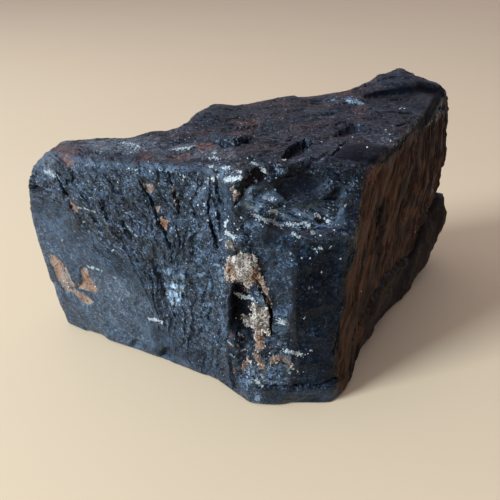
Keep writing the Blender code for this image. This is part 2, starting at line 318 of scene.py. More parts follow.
def sculpt(p, n):
    """Height in mm to add along the normals n at the points p (mm)."""
    z = Zones(p, n)
    u, v, d, fine = z.u, z.v, z.d, z.fine
    slab_x, face_x, behind_x = grain_ways(p, u, v)
    hide = z.hidden * (1 - z.top)
    rough, raw, jagged = Draw(p, z.seen, 1.5), Draw(p, 1.0, 0.0), Draw(p, z.seen, 0.9)

    # granular breakage, quieter on the calm zones
    quiet = np.clip(0.85 * z.calm + 0.95 * z.bowl + 0.95 * z.facet + 0.85 * z.bevel + 0.85 * z.brown + 0.75 * z.mass + 0.8 * z.top + 0.7 * z.layered, 0, 0.95)
    still = smooth(fbm(p / 21.0, 76, 2), 0.0, 0.3)
    quiet = np.clip(np.maximum(quiet + hide * 0.7 * still, 0.95 * z.edge) + 0.6 * d.patch(BACK_HOLLOW, 4.0), 0, 0.95)
    x, y, level = p[:, 0], p[:, 1], p[:, 2]
    none = 0 * u
    h = 0.9 * perlin(p / 23.0, 1) * (1 - 0.6 * z.calm)
    h += only(1 - 0.8 * quiet, lambda k: chips(p[k] / 8.5 + 3.1, 11))
    h += only(1 - quiet, lambda k: 0.55 * chips(p[k] / 3.6 + 9.7, 12) + 0.30 * chips(p[k] / 1.8 + 1.3, 13))
    h += (0.05 + 0.14 * (1 - quiet)) * fbm(p / 1.5, 14, 2)

    # the slab: slanting splinters, and low lines along its foot
    lean = stretched(slab_x, v * 0.05, 0.2 * y)
    w = -slab_x / 5.2 + 1.1 * fbm(stretched(slab_x / 9.0, v / 34.0, none), 21, 3)
    h += only(z.slab * (1 - 0.93 * z.calm), lambda k: 0.75 * ledges(w[k], 0.8) + 0.40 * chips(lean[k] / 2.4, 22, 0.5, 1.2))
    foot = z.slab * smooth(u, 110, 170) * smooth(v, 268, 300)
    w = (v - 0.5 * u) / 17.0 + 0.9 * fbm(stretched(u / 50.0, v / 14.0, none), 23, 3)
    h += only(foot, lambda k: 0.30 * ledges(w[k], 0.6) + 0.25 * chips(p[k] / 4.2, 27, 0.5, 1.5))
    h += only(z.slab * z.calm, lambda k: 0.22 * chips(p[k] / 5.5 + 7.0, 28, 0.4, 1.5) + 0.07 * fbm(p[k] / 1.2, 29, 2) + 0.10 * fbm(p[k] / 4.5, 15, 2))

    # the front block: level layers to the right of its ridge
    w = level / 6.0 + 0.03 * x + 0.8 * fbm(stretched(x / 26.0, y / 26.0, level / 6.0), 24, 3)
    h += only(np.clip(z.layered + 0.4 * z.front, 0, 1), lambda k: 0.5 * ledges(w[k], 0.82) * smooth(fbm(p[k] / 15.0, 50, 2), -0.35, 0.25))
    flat = stretched(x * 0.6, y * 0.6, level)
    h += only(z.layered, lambda k: 1.3 * chips(flat[k] / 8.0 + 1.7, 46, 0.3, 2.0) + 0.6 * chips(p[k] / 3.4, 47, 0.4, 1.8) + 0.25 * chips(p[k] / 1.9, 51, 0.5, 1.6))
    h += only(z.front * (1 - z.layered), lambda k: 0.9 * chips(p[k] / 6.0 + 6.1, 48, 0.3, 2.0))
    ridge = np.interp(u, [236, 262, 291, 295, 335, 352], [0.0, -0.6, 1.9, 1.9, -0.6, 0.0]) * smooth(v, 236, 262) * (1 - smooth(v, 345, 380))
    h += (1 - z.slab) * (1 - z.brown) * z.seen * ridge
    # the bulge under the bowl: plain facets that look up and to the left
    h += only(z.bulge, lambda k: 0.8 + 1.9 * chips(p[k] / 8.0 + 4.4, 26, 0.2, 2.6) + 0.7 * chips(p[k] / 3.2 + 1.4, 52, 0.2, 2.4))

    # the top: low broken scarps that look towards the front
    tx, ty = x * 0.97 + y * 0.22, y * 0.97 - x * 0.22
    run = stretched(tx * 0.2, ty, level * 0.4)
    w = ty / 8.0 + 1.6 * fbm(run / 13.0, 31, 3)
    lively = z.flat_top * (1 - np.clip(z.bowl + z.facet, 0, 1)) * (1 - 0.85 * z.edge)
    h += only(lively, lambda k: 0.75 * ledges(w[k], 0.86) * smooth(fbm(p[k] / 17.0, 32, 2), -0.05, 0.3) + 0.36 * fbm(run[k] / 2.0, 33, 3))
    h += only(lively, lambda k: 0.8 * chips(p[k] / 13.0 + 2.2, 34, 0.3, 1.8) + 0.6 * chips(run[k] / 3.4 + 5.0, 35, 0.4, 1.8) + 0.3 * chips(p[k] / 2.6, 36, 0.4, 1.6))

    # the fibre face: upright strands in sheets
    bend = face_x + only(z.ribbed, lambda k: 1.6 * perlin(stretched(face_x[k] / 9.0, level[k] / 22.0, none[k]), 89))
    fib = stretched(bend, level * 0.07, none)
    w = bend / 6.5 + 1.2 * fbm(stretched(face_x / 11.0, level / 34.0, none), 41, 3)
    sheet = 0.35 + 0.9 * smooth(fbm(p / 13.0, 90, 2), -0.3, 0.35)
    slits = smooth(perlin(stretched(face_x / 2.2, level / 17.0, none), 53) + 0.4 * perlin(stretched(face_x / 1.0, level / 9.0, none), 54), 0.26, 0.5)
    h += only(z.ribbed * (1 - 0.7 * z.edge), lambda k: 0.9 * ledges(w[k], 0.75) + sheet[k] * (0.75 * chips(fib[k] / np.array([2.6, 1.0, 1.0]), 42, 0.6, 1.2) + 0.30 * perlin(fib[k] / 1.1, 43)) - 1.2 * slits[k])

    # the unseen back and end: the same splinters and layers
    fib2 = stretched(behind_x, y * 0.3, level * 0.10)
    w = behind_x / 9.0 + 0.9 * fbm(fib2 / 12.0, 44, 3)
    h += only(hide, lambda k: 0.9 * ledges(w[k], 0.8) + 0.5 * chips(fib2[k] / 3.2, 45, 0.5, 1.3))

    # --- single features, drawn from the photo
    ragged = Draw(p, z.seen, 2.4)
    recess = ragged.patch(RECESS, 2.2)
    deep = 1 - 0.72 * smooth(z.v, 324, 346)
    h -= only(recess, lambda k: 3.9 * deep[k] + 1.9 * chips(p[k] / 3.2 + 2.0, 49, 0.3, 2.0))
    h -= 1.3 * fine.stroke([(232, 290, 1.2), (229, 330, 1.5), (230, 373, 1.5), (236, 400, 2.0)]) * (1 - recess)
    h += 1.3 * fine.patch(BLUE_FACET, 1.2)
    h -= 2.2 * jagged.patch(NOTCH, 1.2) + 1.1 * jagged.patch(GASH, 1.2)
    h += 0.9 * jagged.stroke([(290, 166, 2.0), (298, 163, 3.0), (309, 160, 2.0)], 2.0)
    for depth, pts in TOP_LINES:
        h -= depth * jagged.stroke(pts, 0.8)
    h -= 2.2 * z.bowl
    h += 1.6 * fine.patch(FLAP, 1.2)
    h -= 3.2 * jagged.patch(PIT_A, 1.6)
    h -= 1.9 * jagged.patch(PIT_B, 1.8)
    h += 1.2 * fine.stroke([(212, 138, 1.5), (225, 137.6, 2.6), (236, 136.4, 2.6), (250, 134, 2)], 2.0)
    h -= 1.6 * fine.patch(BACK_HOLLOW, 3.0)
    h += 1.2 * fine.stroke([(330, 101, 2), (345, 99, 3), (356, 101, 3.5), (366, 102, 2)], 2.0)
    for depth, lip, pts in CRACKS:
        h -= depth * jagged.stroke([(x, y, 0.75 * w) for x, y, w in pts], 0.7) * smooth(perlin(p / 3.0, 57), -0.55, -0.1)
        h += lip * jagged.stroke([(x - 2.4, y, w + 1.0) for x, y, w in pts], 2.0)
    h -= 1.2 * fine.stroke([(258, 388, 1.0), (275, 388.5, 1.6), (300, 389, 1.6), (322, 388, 1.6), (339, 380, 1.3)], 1.4)
    h += 0.7 * z.bevel
    h -= 1.3 * rough.patch(PITSTRIP, 2.5)
    h -= 1.5 * fine.stroke([(363, 325, 1.4), (376, 297, 1.2), (389, 275, 1.0), (409, 257, 0.6), (418.4, 237, 0.8), (423, 216, 1.2), (437, 199, 2.2)], 1.6)
    h += only(z.mass, lambda k: 0.5 + 1.1 * fbm(p[k] / 10.0, 92, 3) + 0.9 * chips(p[k] / 9.0, 93, 0.4, 1.4)) - 0.9 * z.ribbed
    fine_hole = raw.patch([(29, 189), (33, 186.5), (39, 187.5), (42.5, 191), (38, 193), (31, 192.5)], 1.0)
    h += 2.9 * raw.blob(201, 117, 24, 10, -28, 0.7) - 1.0 * raw.blob(38, 158, 24, 18, -40, 0.5) - 2.0 * fine_hole
    h += only(z.crystal, lambda k: 1.0 + 1.5 * chips(p[k] / 3.0 + 8.0, 58, 0.2, 2.6))
    h -= 1.2 * jagged.stroke([(151, 262, 1.0), (157, 274, 2.2), (162, 286, 2.4), (163, 298, 1.4)], 1.6)
    for shape in (CLAY_TOP, CLAY_LOW, CLAY_CHIP):
        h += 0.5 * fine.patch(shape, 1.2)
    for shape in (CLAY_LEFT_A, CLAY_LEFT_B, CLAY_LEFT_C):
        h -= 0.8 * fine.patch(shape, 1.2)
    h -= 1.6 * fine.blob(136, 345, 5, 5) + 1.9 * fine.blob(166, 355, 5, 6) + 1.2 * fine.blob(202, 333, 4, 4)
    return h


def grow():
    """The lump's fine mesh, from the CAD solid."""
    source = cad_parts["coal_lump"]
    bm = bmesh.new()
    bm.from_mesh(source.data)
    bmesh.ops.remove_doubles(bm, verts=bm.verts, dist=1e-6)
    mesh = bpy.data.meshes.new("coal_lump_surface")
    bm.to_mesh(mesh)
    bm.free()
    lump = bpy.data.objects.new("coal_lump_surface", mesh)
    bpy.context.scene.collection.objects.link(lump)

    cell = 0.46
    skin = lump.modifiers.new("skin", "REMESH")
    skin.mode = "VOXEL"
    skin.voxel_size = cell * MM
    soft = lump.modifiers.new("soft", "SMOOTH")
    soft.factor = 0.5
    soft.iterations = int(5.0 / cell**2)
    mesh = apply(lump)

    p = points(mesh)
    n = normals(mesh)
    sole = 1 - smooth(p[:, 2], 0.2, 1.6)
    h = sculpt(p, n)
    q = p + n * (h * (1 - sole))[:, None]
    q[:, 2] = np.maximum(q[:, 2], 0.0)
    mesh.vertices.foreach_set("co", (q * MM).astype(np.float32).ravel())
    mesh.update()

    # keep the mesh fine where there is most to see
    z = Zones(q, n)
    spare = np.clip(1.0 - 0.75 * z.seen * (1 - 0.6 * z.calm) * (1 - 0.5 * z.far_top) * (1 - 0.3 * z.mass) - 0.25 * z.hidden, 0, 1)
    spare[q[:, 2] < 0.05] = 1.0
    for _, _, pts in CRACKS:
        spare = np.minimum(spare, 1 - z.fine.stroke([(x, y, w + 2.0) for x, y, w in pts], 2.0))
    for shape in (CLAY_TOP, CLAY_LOW, CLAY_LEFT_A, CLAY_LEFT_B, CLAY_LEFT_C, CLAY_CHIP, CLAY_STRIP, CLAY_ARC, CLAY_ARCH, RECESS):
        spare = np.minimum(spare, 1 - 0.8 * z.fine.patch(shape, 3.0))
    group = lump.vertex_groups.new(name="spare")
    level = np.round(spare * 10).astype(int)
    for k in range(1, 11):
        group.add(np.nonzero(level == k)[0].tolist(), k / 10.0, "REPLACE")
    thin = lump.modifiers.new("thin", "DECIMATE")
    thin.ratio = min(1.0, 198000 / (len(mesh.polygons) * 2))
    thin.use_collapse_triangulate = True
    thin.vertex_group = "spare"
    thin.vertex_group_factor = 2e-5
    mesh = apply(lump)
    lump.vertex_groups.clear()
    print("surface:", len(mesh.vertices), "points", len(mesh.polygons), "faces")
    return lump, mesh


def points(mesh):
    p = np.empty(len(mesh.vertices) * 3)
    mesh.vertices.foreach_get("co", p)
    return p.reshape(-1, 3) / MM


def apply(obj):
    graph = bpy.context.evaluated_depsgraph_get()
    mesh = bpy.data.meshes.new_from_object(obj.evaluated_get(graph))
    obj.modifiers.clear()
    old = obj.data
    obj.data = mesh
    bpy.data.meshes.remove(old)
    return mesh


def normals(mesh):
    n = np.empty(len(mesh.vertices) * 3)
    mesh.vertex_normals.foreach_get("vector", n)
    return n.reshape(-1, 3)


def attribute(mesh, name, values):
    a = mesh.attributes.new(name, "FLOAT", "POINT")
    a.data.foreach_set("value", np.ascontiguousarray(values, dtype=np.float32))


WHITES = [
    [(251, 213.5, 1.6), (262, 219, 2.0), (272, 221, 2.2), (281, 226, 1.8)],
    [(286, 225, 1.3), (297, 224, 1.4), (306, 223, 1.8), (313, 233, 1.4)],
    [(292, 233, 1.6), (298, 236, 1.6)],
    [(315, 213, 1.4), (319, 216, 1.4)],
    [(325, 218, 1.4), (329, 221, 1.8)],
    [(270, 211, 1.8), (277, 211, 2.0)],
    [(267, 198, 0.8), (273, 200, 1.2)],
    [(313, 249, 0.9), (321, 249, 1.7)],
    [(225, 179.5, 1.6), (233, 179.5, 2.3), (242, 177.5, 1.5)],
    [(208, 180, 1.3), (217, 177.5, 1.6)],
    [(222, 168, 1.0), (229, 168.5, 1.4)], [(209, 166.5, 1.0), (212.5, 166.5, 1.2)], [(236, 172.5, 1.0), (241, 171.5, 1.2)],
    [(209, 158.5, 0.8), (214, 157.5, 1.0), (220, 158.5, 0.8)], [(213, 152.8, 0.7), (217, 153.5, 0.7)], [(223, 155.5, 0.6), (227, 154, 0.6)],
    [(253, 162.5, 1.6), (258, 165.5, 1.3), (264, 169.5, 0.8), (268, 174, 0.5)], [(253, 181.5, 0.8), (257, 180.5, 1.0)], [(265.5, 176.5, 0.7), (266.5, 179.5, 0.7)],
    [(284, 351, 1.2), (293, 352, 1.6), (302, 355, 1.6)],
    [(255, 379, 1.0), (263, 387, 1.2)],
    [(236, 293, 1.0), (244, 297, 1.5), (253, 299, 1.2)],
    [(172, 149, 0.3), (184, 148, 0.7), (196, 147, 0.3)],
    [(122, 143, 0.3), (132, 144, 0.8), (141, 147, 0.5)],
    [(148, 318, 1.0), (156, 320, 1.8), (163, 323, 1.0)],
    [(49, 172, 0.8), (55, 176, 1.2)],
    [(226, 232, 1.6), (234, 238, 1.8)],
    [(225, 226, 1.3), (228, 219, 0.8)],
    [(280, 321, 1.8), (284, 322, 2.0)],
]
DOTS = [
    (330, 247), (291, 253), (294, 260), (303, 258), (310, 259), (322, 273), (341, 259), (311.6, 351), (298, 371), (304, 371), (252, 382),
    (304, 317), (406, 219), (415, 232), (406, 259), (361, 291), (173, 187), (198, 205), (212, 196), (205, 204), (216, 214), (208, 221),
    (221, 240), (224, 222), (129, 169), (137, 170), (118, 182), (96, 190), (214, 178), (205, 188), (247, 207), (262, 226), (346, 205), (352, 97),
    (193, 186), (184, 176), (159, 183), (150, 171), (238, 229), (242, 218), (334, 230), (320, 235), (276, 190), (266, 190), (344, 139),
    (330, 137), (352, 136.7), (340, 147), (385.8, 130.4), (390.4, 134.6), (390, 140.8), (393.3, 144.2), (405, 108.8), (400.8, 108), (276, 178.7), (250, 174.5), (367.5, 147), (322, 142), (300, 214), (285, 206), (63, 240), (84, 222), (112, 250), (222, 303), (219, 320),
]
CHIPS_TAN = [
    [(143, 183.5), (149, 184), (155.5, 187), (151.5, 193.5), (148.5, 190)],
    [(153.5, 205), (161, 206.5), (158, 212.5), (155.5, 209)],
    [(160, 217.5), (168.3, 220), (166.5, 227), (165.6, 233.5), (163.2, 227)],
    [(171.8, 184), (173.8, 184), (174.2, 192), (172.6, 192)],
    [(173.3, 198.5), (175.2, 199.5), (177.2, 207), (175.3, 206)],
    [(66, 194.6), (70, 201), (78.6, 209.7), (77.8, 213), (71.4, 208)],
    [(231, 187), (235, 189), (238.5, 195), (236, 202), (233.5, 199), (234, 193)],
]
THREADS = [
    # the first stroke is a painted highlight; the others are pale mineral threads
    [(44.5, 171, 0.8), (49, 173, 1.6), (54, 177, 0.7)],
    [(237, 334, 0.3), (241, 334.8, 0.6), (244, 336.5, 0.3)], [(228, 341, 0.4), (231.5, 345, 0.6), (234, 347, 0.4)], [(235, 342, 0.3), (238.5, 346, 0.5)],
    [(240, 352, 0.4), (244, 349.5, 0.6), (248, 351, 0.4)], [(230, 354, 0.4), (234, 357, 0.6)], [(247, 377, 0.5), (250.5, 384, 0.7), (253, 382, 0.4)],
    [(258, 372, 0.4), (262, 376, 0.6), (265, 381, 0.4)], [(284, 366, 0.4), (288, 370, 0.6), (290.5, 374, 0.4)],
    [(78, 208, 0.5), (85, 208.5, 0.6), (93, 211, 0.7), (99, 214.3, 0.4)],
    [(123, 211, 0.5), (130, 215, 0.6)],
    [(127, 226, 0.4), (132, 231, 0.5), (137, 236.5, 0.4)],
    [(86, 266, 0.6), (93, 267.5, 0.7), (102, 271, 0.5)],
    [(110, 275.5, 0.5), (117, 279, 0.5)],
    [(304, 288.6, 0.4), (312, 286.8, 0.8)],
]
CLAYS = (CLAY_TOP, CLAY_LOW, CLAY_CHIP, CLAY_STRIP, CLAY_ARC, CLAY_ARCH, CLAY_ARM, CLAY_LEFT_A, CLAY_LEFT_B, CLAY_LEFT_C)


def paint(mesh):
    """Where each finish, painted shade and painted highlight lies, as fields on the mesh. Returns the fields that the
    loose grains follow.
    """
    p = points(mesh)
    z = Zones(p, normals(mesh))
    z.seen = np.ones(len(p)) * smooth(z.seen, 0.0, 0.1)
    seen, top = z.seen, z.top
    d, fine = Draw(p, seen, 0.8), Draw(p, seen, 0.3)
    rag = Draw(p, seen, 1.3)

    clay = np.zeros(len(p))
    for shape in CLAYS:
        clay = np.maximum(clay, smooth(rag.depth(shape), -2.0, 2.0) * seen)
    for shape in CHIPS_TAN:
        clay = np.maximum(clay, smooth(fine.depth(shape), -1.2, 0.6) * seen)
    straw = d.stroke([(366, 190, 4.0), (364, 222, 6.0), (360, 252, 6.0), (354, 282, 5.0), (348, 318, 4.5), (345, 350, 4.0), (342, 385, 3.0)], 5.0)
    straw = np.maximum(straw, 0.7 * d.stroke([(400, 152, 5.0), (384, 172, 5.0), (374, 190, 3.0)], 5.0))
    straw = np.maximum(straw, 0.45 * d.stroke([(390, 185, 4.0), (391, 215, 5.0), (389, 240, 4.0)], 5.0))
    thread = np.zeros(len(p))
    for pts in THREADS:
        thread = np.maximum(thread, fine.stroke(pts, 0.9))
    orange = np.zeros(len(p))
    for shape in (CLAY_STRIP, CLAY_ARC, CLAY_ARCH, CLAY_ARM):
        orange = np.maximum(orange, fine.patch(shape, 4.0))
    orange = np.maximum(orange, 0.55 * np.maximum(fine.patch(CLAY_LEFT_B, 4.0), fine.patch(CLAY_LEFT_C, 4.0)))
    for share, *spot in ((0.5, 56, 268, 8, 14), (0.7, 255, 277, 7, 9), (0.7, 231, 270, 7, 9), (0.7, 267, 291, 5, 12), (1.0, 165, 227, 6, 10), (0.6, 74, 205, 7, 9), (0.3, 150, 188, 7, 7), (0.5, 258, 329, 4, 5)):
        orange = np.maximum(orange, share * fine.blob(*spot))

    speck = np.zeros(len(p))
    for pts in WHITES:
        speck = np.maximum(speck, fine.stroke(pts, 1.4))
    sprinkle = np.zeros(len(p))
    for share, shape in (
        (0.55, [(198, 160), (250, 158), (262, 172), (246, 195), (232, 205), (212, 200), (200, 185)]),
        (0.30, [(205, 190), (232, 200), (234, 245), (214, 245), (203, 215)]),
        (0.50, [(262, 205), (335, 198), (340, 225), (315, 243), (280, 238), (245, 222)]),
        (0.4, [(98, 148), (110, 141), (132, 141), (128, 148), (108, 151)]),
        (0.5, [(164, 153), (175, 145), (198, 144), (194, 150), (176, 154)]),
        (0.7, [(146, 148), (158, 143), (173, 142), (168, 148), (152, 150)]),
        (0.25, [(90, 141), (205, 124), (215, 150), (150, 160), (90, 156)]),
        (0.30, [(262, 335), (310, 340), (316, 380), (250, 392), (240, 370)]),
        (0.5, [(232, 292), (250, 296), (252, 330), (252, 372), (236, 378), (230, 340)]), (0.12, [(165, 300), (232, 300), (232, 352), (190, 352), (165, 335)]),
        (0.18, [(60, 160), (200, 168), (205, 215), (130, 205), (60, 185)]),
    ):
        sprinkle = np.maximum(sprinkle, share * d.patch(shape, 6.0))
    sprinkle = sprinkle * smooth(fbm(p / 5.0, 78, 2), -0.25, 0.35)

    rust = np.zeros(len(p))
    for share, shape in (
        (0.9, [(59, 155), (67, 153), (76, 160), (74, 166), (66, 167)]), (1.0, [(196, 147), (201, 144), (213, 143.5), (214, 147), (207, 151), (197, 151)]),
        (0.8, [(170, 157), (180, 154), (191, 153), (190, 158), (180, 160), (172, 161)]), (0.5, [(52, 147), (80, 146), (82, 153), (60, 156)]),
        (0.45, [(136, 152), (152, 150), (152, 156), (138, 158)]), (0.45, [(350, 109), (366, 105), (368, 114), (352, 117)]),
        (0.35, [(300, 95), (350, 90), (352, 94), (300, 99)]), (0.7, [(367, 168), (381, 166), (376, 180), (370, 190), (365, 184)]), (0.4, [(230, 131), (246, 128), (256, 127), (252, 134), (234, 137)]),
        (0.35, [(238, 120), (262, 118), (262, 128), (240, 130)]), (0.35, [(250, 104), (290, 100), (290, 104), (252, 108)]),
    ):
        rust = np.maximum(rust, share * d.patch(shape, 2.5))

    rust = np.maximum(rust, 0.12 * fine.patch(NOTCH, 1.0))
    for spot in ((231.5, 336, 2.2, 2.6), (233.5, 371, 2.4, 3.0), (242, 368, 2.0, 3.4), (228.5, 347, 1.4, 1.6), (247, 176, 1.4, 2.2), (262, 288, 1.2, 2.0)):
        rust = np.maximum(rust, 0.9 * fine.blob(*spot))
    # whitish-blue smears on the top: part pale dust, part painted sheen
    milky = np.zeros(len(p))
    for share, shape in (
        (1.0, [(90, 142), (98, 139), (112, 142), (112, 150), (100, 152), (92, 148)]), (1.2, [(125, 140), (136, 138), (146, 142), (144, 149), (132, 150), (126, 146)]),
        (1.2, [(168, 149), (176, 145), (196, 144), (196, 149), (180, 152), (170, 153)]), (0.6, [(146, 148), (158, 143), (173, 142), (168, 148), (152, 150)]),
        (0.7, [(40, 168), (50, 166), (59, 176), (50, 179)]), (0.5, [(33, 165), (46, 149), (58, 160), (46, 170)]), (0.5, [(84, 138), (120, 136), (120, 142), (84, 144)]),
        (0.55, [(64, 140), (96, 138), (96, 146), (60, 148)]), (0.6, [(96, 140), (160, 137), (164, 150), (110, 153)]), (0.5, [(150, 150), (230, 146), (236, 158), (160, 160)]),
        (0.4, [(204, 166), (226, 164), (246, 176), (226, 186), (206, 184)]),
    ):
        milky = np.maximum(milky, share * d.patch(shape, 3.0))
    milky = np.maximum(milky, 0.8 * d.stroke([(253, 163, 1.4), (262, 165, 1.4), (269, 174, 0.8)], 1.5))

    # painted glints: where bright flakes are painted into the colour (the same field also tilts the normals)
    glint = np.zeros(len(p))
    for share, shape in (
        (1.0, CRYSTAL), (0.7, BULGE), (0.5, [(165, 300), (232, 300), (232, 352), (190, 352), (165, 335)]), (0.6, [(238, 372), (262, 366), (270, 384), (246, 392)]),
        (0.95, [(238, 190), (246, 185), (258, 186), (270, 192), (268, 206), (258, 214), (246, 213), (237, 204)]), (0.75, FLAP), (0.6, BLUE_FACET),
        (0.6, [(272, 309), (284, 312), (293, 330), (284, 334), (273, 332)]), (0.85, [(240, 360), (262, 366), (290, 362), (290, 385), (262, 388), (240, 384)]),
        (0.7, [(228, 334), (254, 338), (254, 356), (243, 364), (238, 376), (231, 376)]), (0.6, [(262, 338), (294, 338), (296, 362), (262, 364)]),
        (0.7, [(238, 392), (262, 391), (262, 404), (246, 403)]), (0.4, [(160, 270), (200, 262), (232, 268), (230, 335), (196, 330), (164, 310)]),
        (0.5, [(180, 166), (232, 166), (232, 262), (204, 262), (190, 220)]), (0.35, [(340, 172), (366, 168), (360, 200), (344, 206)]),
        (0.6, [(364, 136), (404, 134), (405, 146), (384, 146), (366, 142)]), (0.5, [(262, 140), (274, 140), (274, 146), (264, 147)]), (0.4, [(295, 158), (330, 140), (345, 146), (325, 166), (300, 172)]),
        (0.35, [(300, 262), (345, 255), (345, 290), (300, 300)]), (0.45, [(292, 335), (318, 322), (322, 338), (296, 350)]),
    ):
        glint = np.maximum(glint, share * d.patch(shape, 3.5))
    glint = np.maximum(glint, d.stroke([(341, 97, 1.0), (350, 99, 2.6), (358, 102.5, 3.2), (363, 104, 1.6)], 1.6))
    glint = np.maximum(glint, 0.6 * d.stroke([(330, 99, 1.5), (339, 101, 1.5)], 1.6))
    glint = np.maximum(glint, 0.9 * d.stroke([(36, 166, 3.0), (47, 153, 3.0), (60, 156, 3.0), (90, 163, 4.0), (130, 167, 4.0), (175, 168, 4.0), (222, 169, 6.0)], 4.0))
    glint = np.maximum(glint, (1 - seen) * 0.3 * smooth(fbm(p / 13.0, 77, 2), 0.1, 0.5))

    # painted highlights: bright plates on the crystal spot, the bulge, the ledge and the foot
    shine = z.crystal.copy()
    for share, shape in (
        (0.75, [(238, 190), (246, 185), (258, 186), (270, 192), (268, 206), (258, 214), (246, 213), (237, 204)]), (0.3, BULGE), (0.45, [(246, 374), (262, 370), (268, 384), (252, 388)]), (0.35, FLAP), (0.25, BLUE_FACET),
        (0.40, [(272, 309), (284, 312), (293, 330), (284, 334), (273, 332)]), (0.42, [(240, 362), (262, 368), (290, 364), (290, 382), (262, 386), (240, 384)]), (0.30, [(230, 336), (252, 340), (250, 356), (238, 372), (232, 372)]),
        (0.45, [(238, 392), (262, 391), (262, 404), (246, 403)]), (0.30, [(160, 268), (186, 270), (190, 290), (178, 306), (164, 306)]),
        (0.30, [(185, 262), (228, 262), (228, 284), (200, 290)]), (0.2, [(340, 192), (352, 190), (356, 198), (342, 202)]),
    ):
        shine = np.maximum(shine, share * d.patch(shape, 3.0))
    for spot in ((348.3, 98.8, 3.2, 2.4), (351.0, 102.2, 2.6, 2.0), (356.5, 101.3, 2.6, 2.6), (361.0, 103.4, 3.0, 2.4), (333.3, 100.0, 2.6, 1.8), (402, 143.6, 4.0, 1.8)):
        shine = np.maximum(shine, 1.3 * fine.blob(*spot, 20))
    shine = np.maximum(shine, 1.0 * fine.stroke([(373.3, 190, 0.4), (376.5, 181, 0.8), (380, 174, 0.7), (384, 167.5, 0.3)], 0.7))
    shine = np.maximum(shine, 0.7 * fine.stroke([(281, 162, 0.5), (287, 169, 1.0), (288.5, 175, 1.0)], 1.0))
    shine = np.clip(shine, 0, 1)
    shine = np.maximum(shine, 0.25 * (1 - seen) * smooth(fbm(p / 11.0, 87, 2), 0.25, 0.5))

    gloss = d.blob(171, 293, 9, 13, 15)
    for share, shape in (
        (0.8, BULGE), (0.7, FLAP), (0.7, BLUE_FACET), (0.8, [(272, 309), (284, 312), (293, 330), (284, 334), (273, 332)]),
        (0.6, [(268, 362), (287, 360), (287, 376), (270, 375)]), (0.7, [(236, 388), (265, 388), (265, 406), (245, 402)]),
        (0.6, [(252, 378), (270, 376), (272, 388), (254, 392)]),
    ):
        gloss = np.maximum(gloss, share * d.patch(shape, 2.5))
    gloss = np.maximum(gloss, d.stroke([(330, 100, 2), (346, 99, 4), (360, 102, 5)], 2.0))

    # painted shade: the recess, pits, cracks, top lines, bowl, facet, back hollow, undercut mass and a strip along the
    # right edge are darkened in the colour
    dark = np.maximum(Draw(p, seen, 2.4).patch(RECESS, 2.5) * (0.93 - 0.30 * smooth(z.v + 9.0 * fbm(p / 4.0, 92, 2), 326, 348)), 0.7 * z.mass)
    for share, shape, edge in (
        (1.0, PITSTRIP, 2.5), (0.45, [(294, 262), (345, 245), (352, 300), (340, 385), (296, 388), (294, 330)], 8.0), (0.7, BACK_HOLLOW, 2.0),
        (0.9, PIT_A, 2.0), (0.8, PIT_B, 2.0),
    ):
        dark = np.maximum(dark, share * d.patch(shape, edge))
    dark = np.maximum(dark, 0.35 * z.bowl)
    jagged = Draw(p, seen, 0.9)
    for _, _, pts in CRACKS:
        dark = np.maximum(dark, 0.95 * jagged.stroke([(x, y, 0.75 * w) for x, y, w in pts], 0.8))
    for _, pts in TOP_LINES:
        dark = np.maximum(dark, 0.8 * jagged.stroke(pts, 0.9))
    for share, shape in (
        (0.55, GASH), (0.9, [(288, 175), (296, 172), (304, 169), (311, 164.5), (312, 168), (305, 172.5), (297, 175.5), (290, 177)]), (0.85, NOTCH), (0.5, [(411, 131), (425, 127), (438, 123), (444, 130), (440, 150), (425, 150), (412, 146)]),
        (0.5, [(408, 166), (418, 164), (427, 170), (425, 184), (412, 182)]), (0.45, [(345, 290), (362, 300), (352, 380), (336, 392), (334, 350)]),
        (0.4, [(400, 84), (440, 86), (444, 110), (430, 118), (402, 104)]),
    ):
        dark = np.maximum(dark, share * d.patch(shape, 3.0))
    # painted shadow: the dark band under the back ledge
    ledge_shadow = d.stroke([(366, 96, 2.0), (380, 93, 2.6), (400, 91, 3.4), (420, 89, 3.4), (440, 92, 3.4)], 2.0)
    dark = np.maximum(dark, 0.95 * ledge_shadow)
    dark = np.maximum(dark, 0.62 * z.facet)
    dark = np.maximum(dark, 0.8 * d.stroke([(151, 262, 1.0), (157, 274, 2.6), (162, 286, 2.8), (164, 299, 1.4)], 2.0))
    dark = np.maximum(dark, 0.15 * d.stroke([(364, 188, 3.0), (358, 240, 4.0), (352, 300, 5.0), (347, 350, 5.0), (342, 396, 5.0)], 5.0))
    dark = np.maximum(dark, 0.93 * z.edge * (1 - z.brown) * smooth(z.u, 360, 385))

    quiet = np.clip(0.97 * z.edge * smooth(z.u, 360, 385) + 0.85 * z.calm + 0.9 * z.bowl + 0.9 * z.facet + 0.8 * z.bevel + 0.8 * z.mass + 0.25 * z.far_top + 0.3 * top + 0.45 * z.layered + 0.4 * z.front * smooth(z.u, 300, 335) * smooth(z.v, 215, 240), 0, 1)
    quiet = np.maximum(quiet, 0.9 * d.patch([(360, 90), (405, 66), (412, 66), (432, 82), (443, 84), (447, 104), (425, 112), (400, 92), (370, 96)], 3.0))
    quiet = np.maximum(quiet, 0.65 * d.patch([(245, 218), (290, 225), (297, 262), (294, 330), (278, 334), (266, 290), (258, 250)], 8.0))
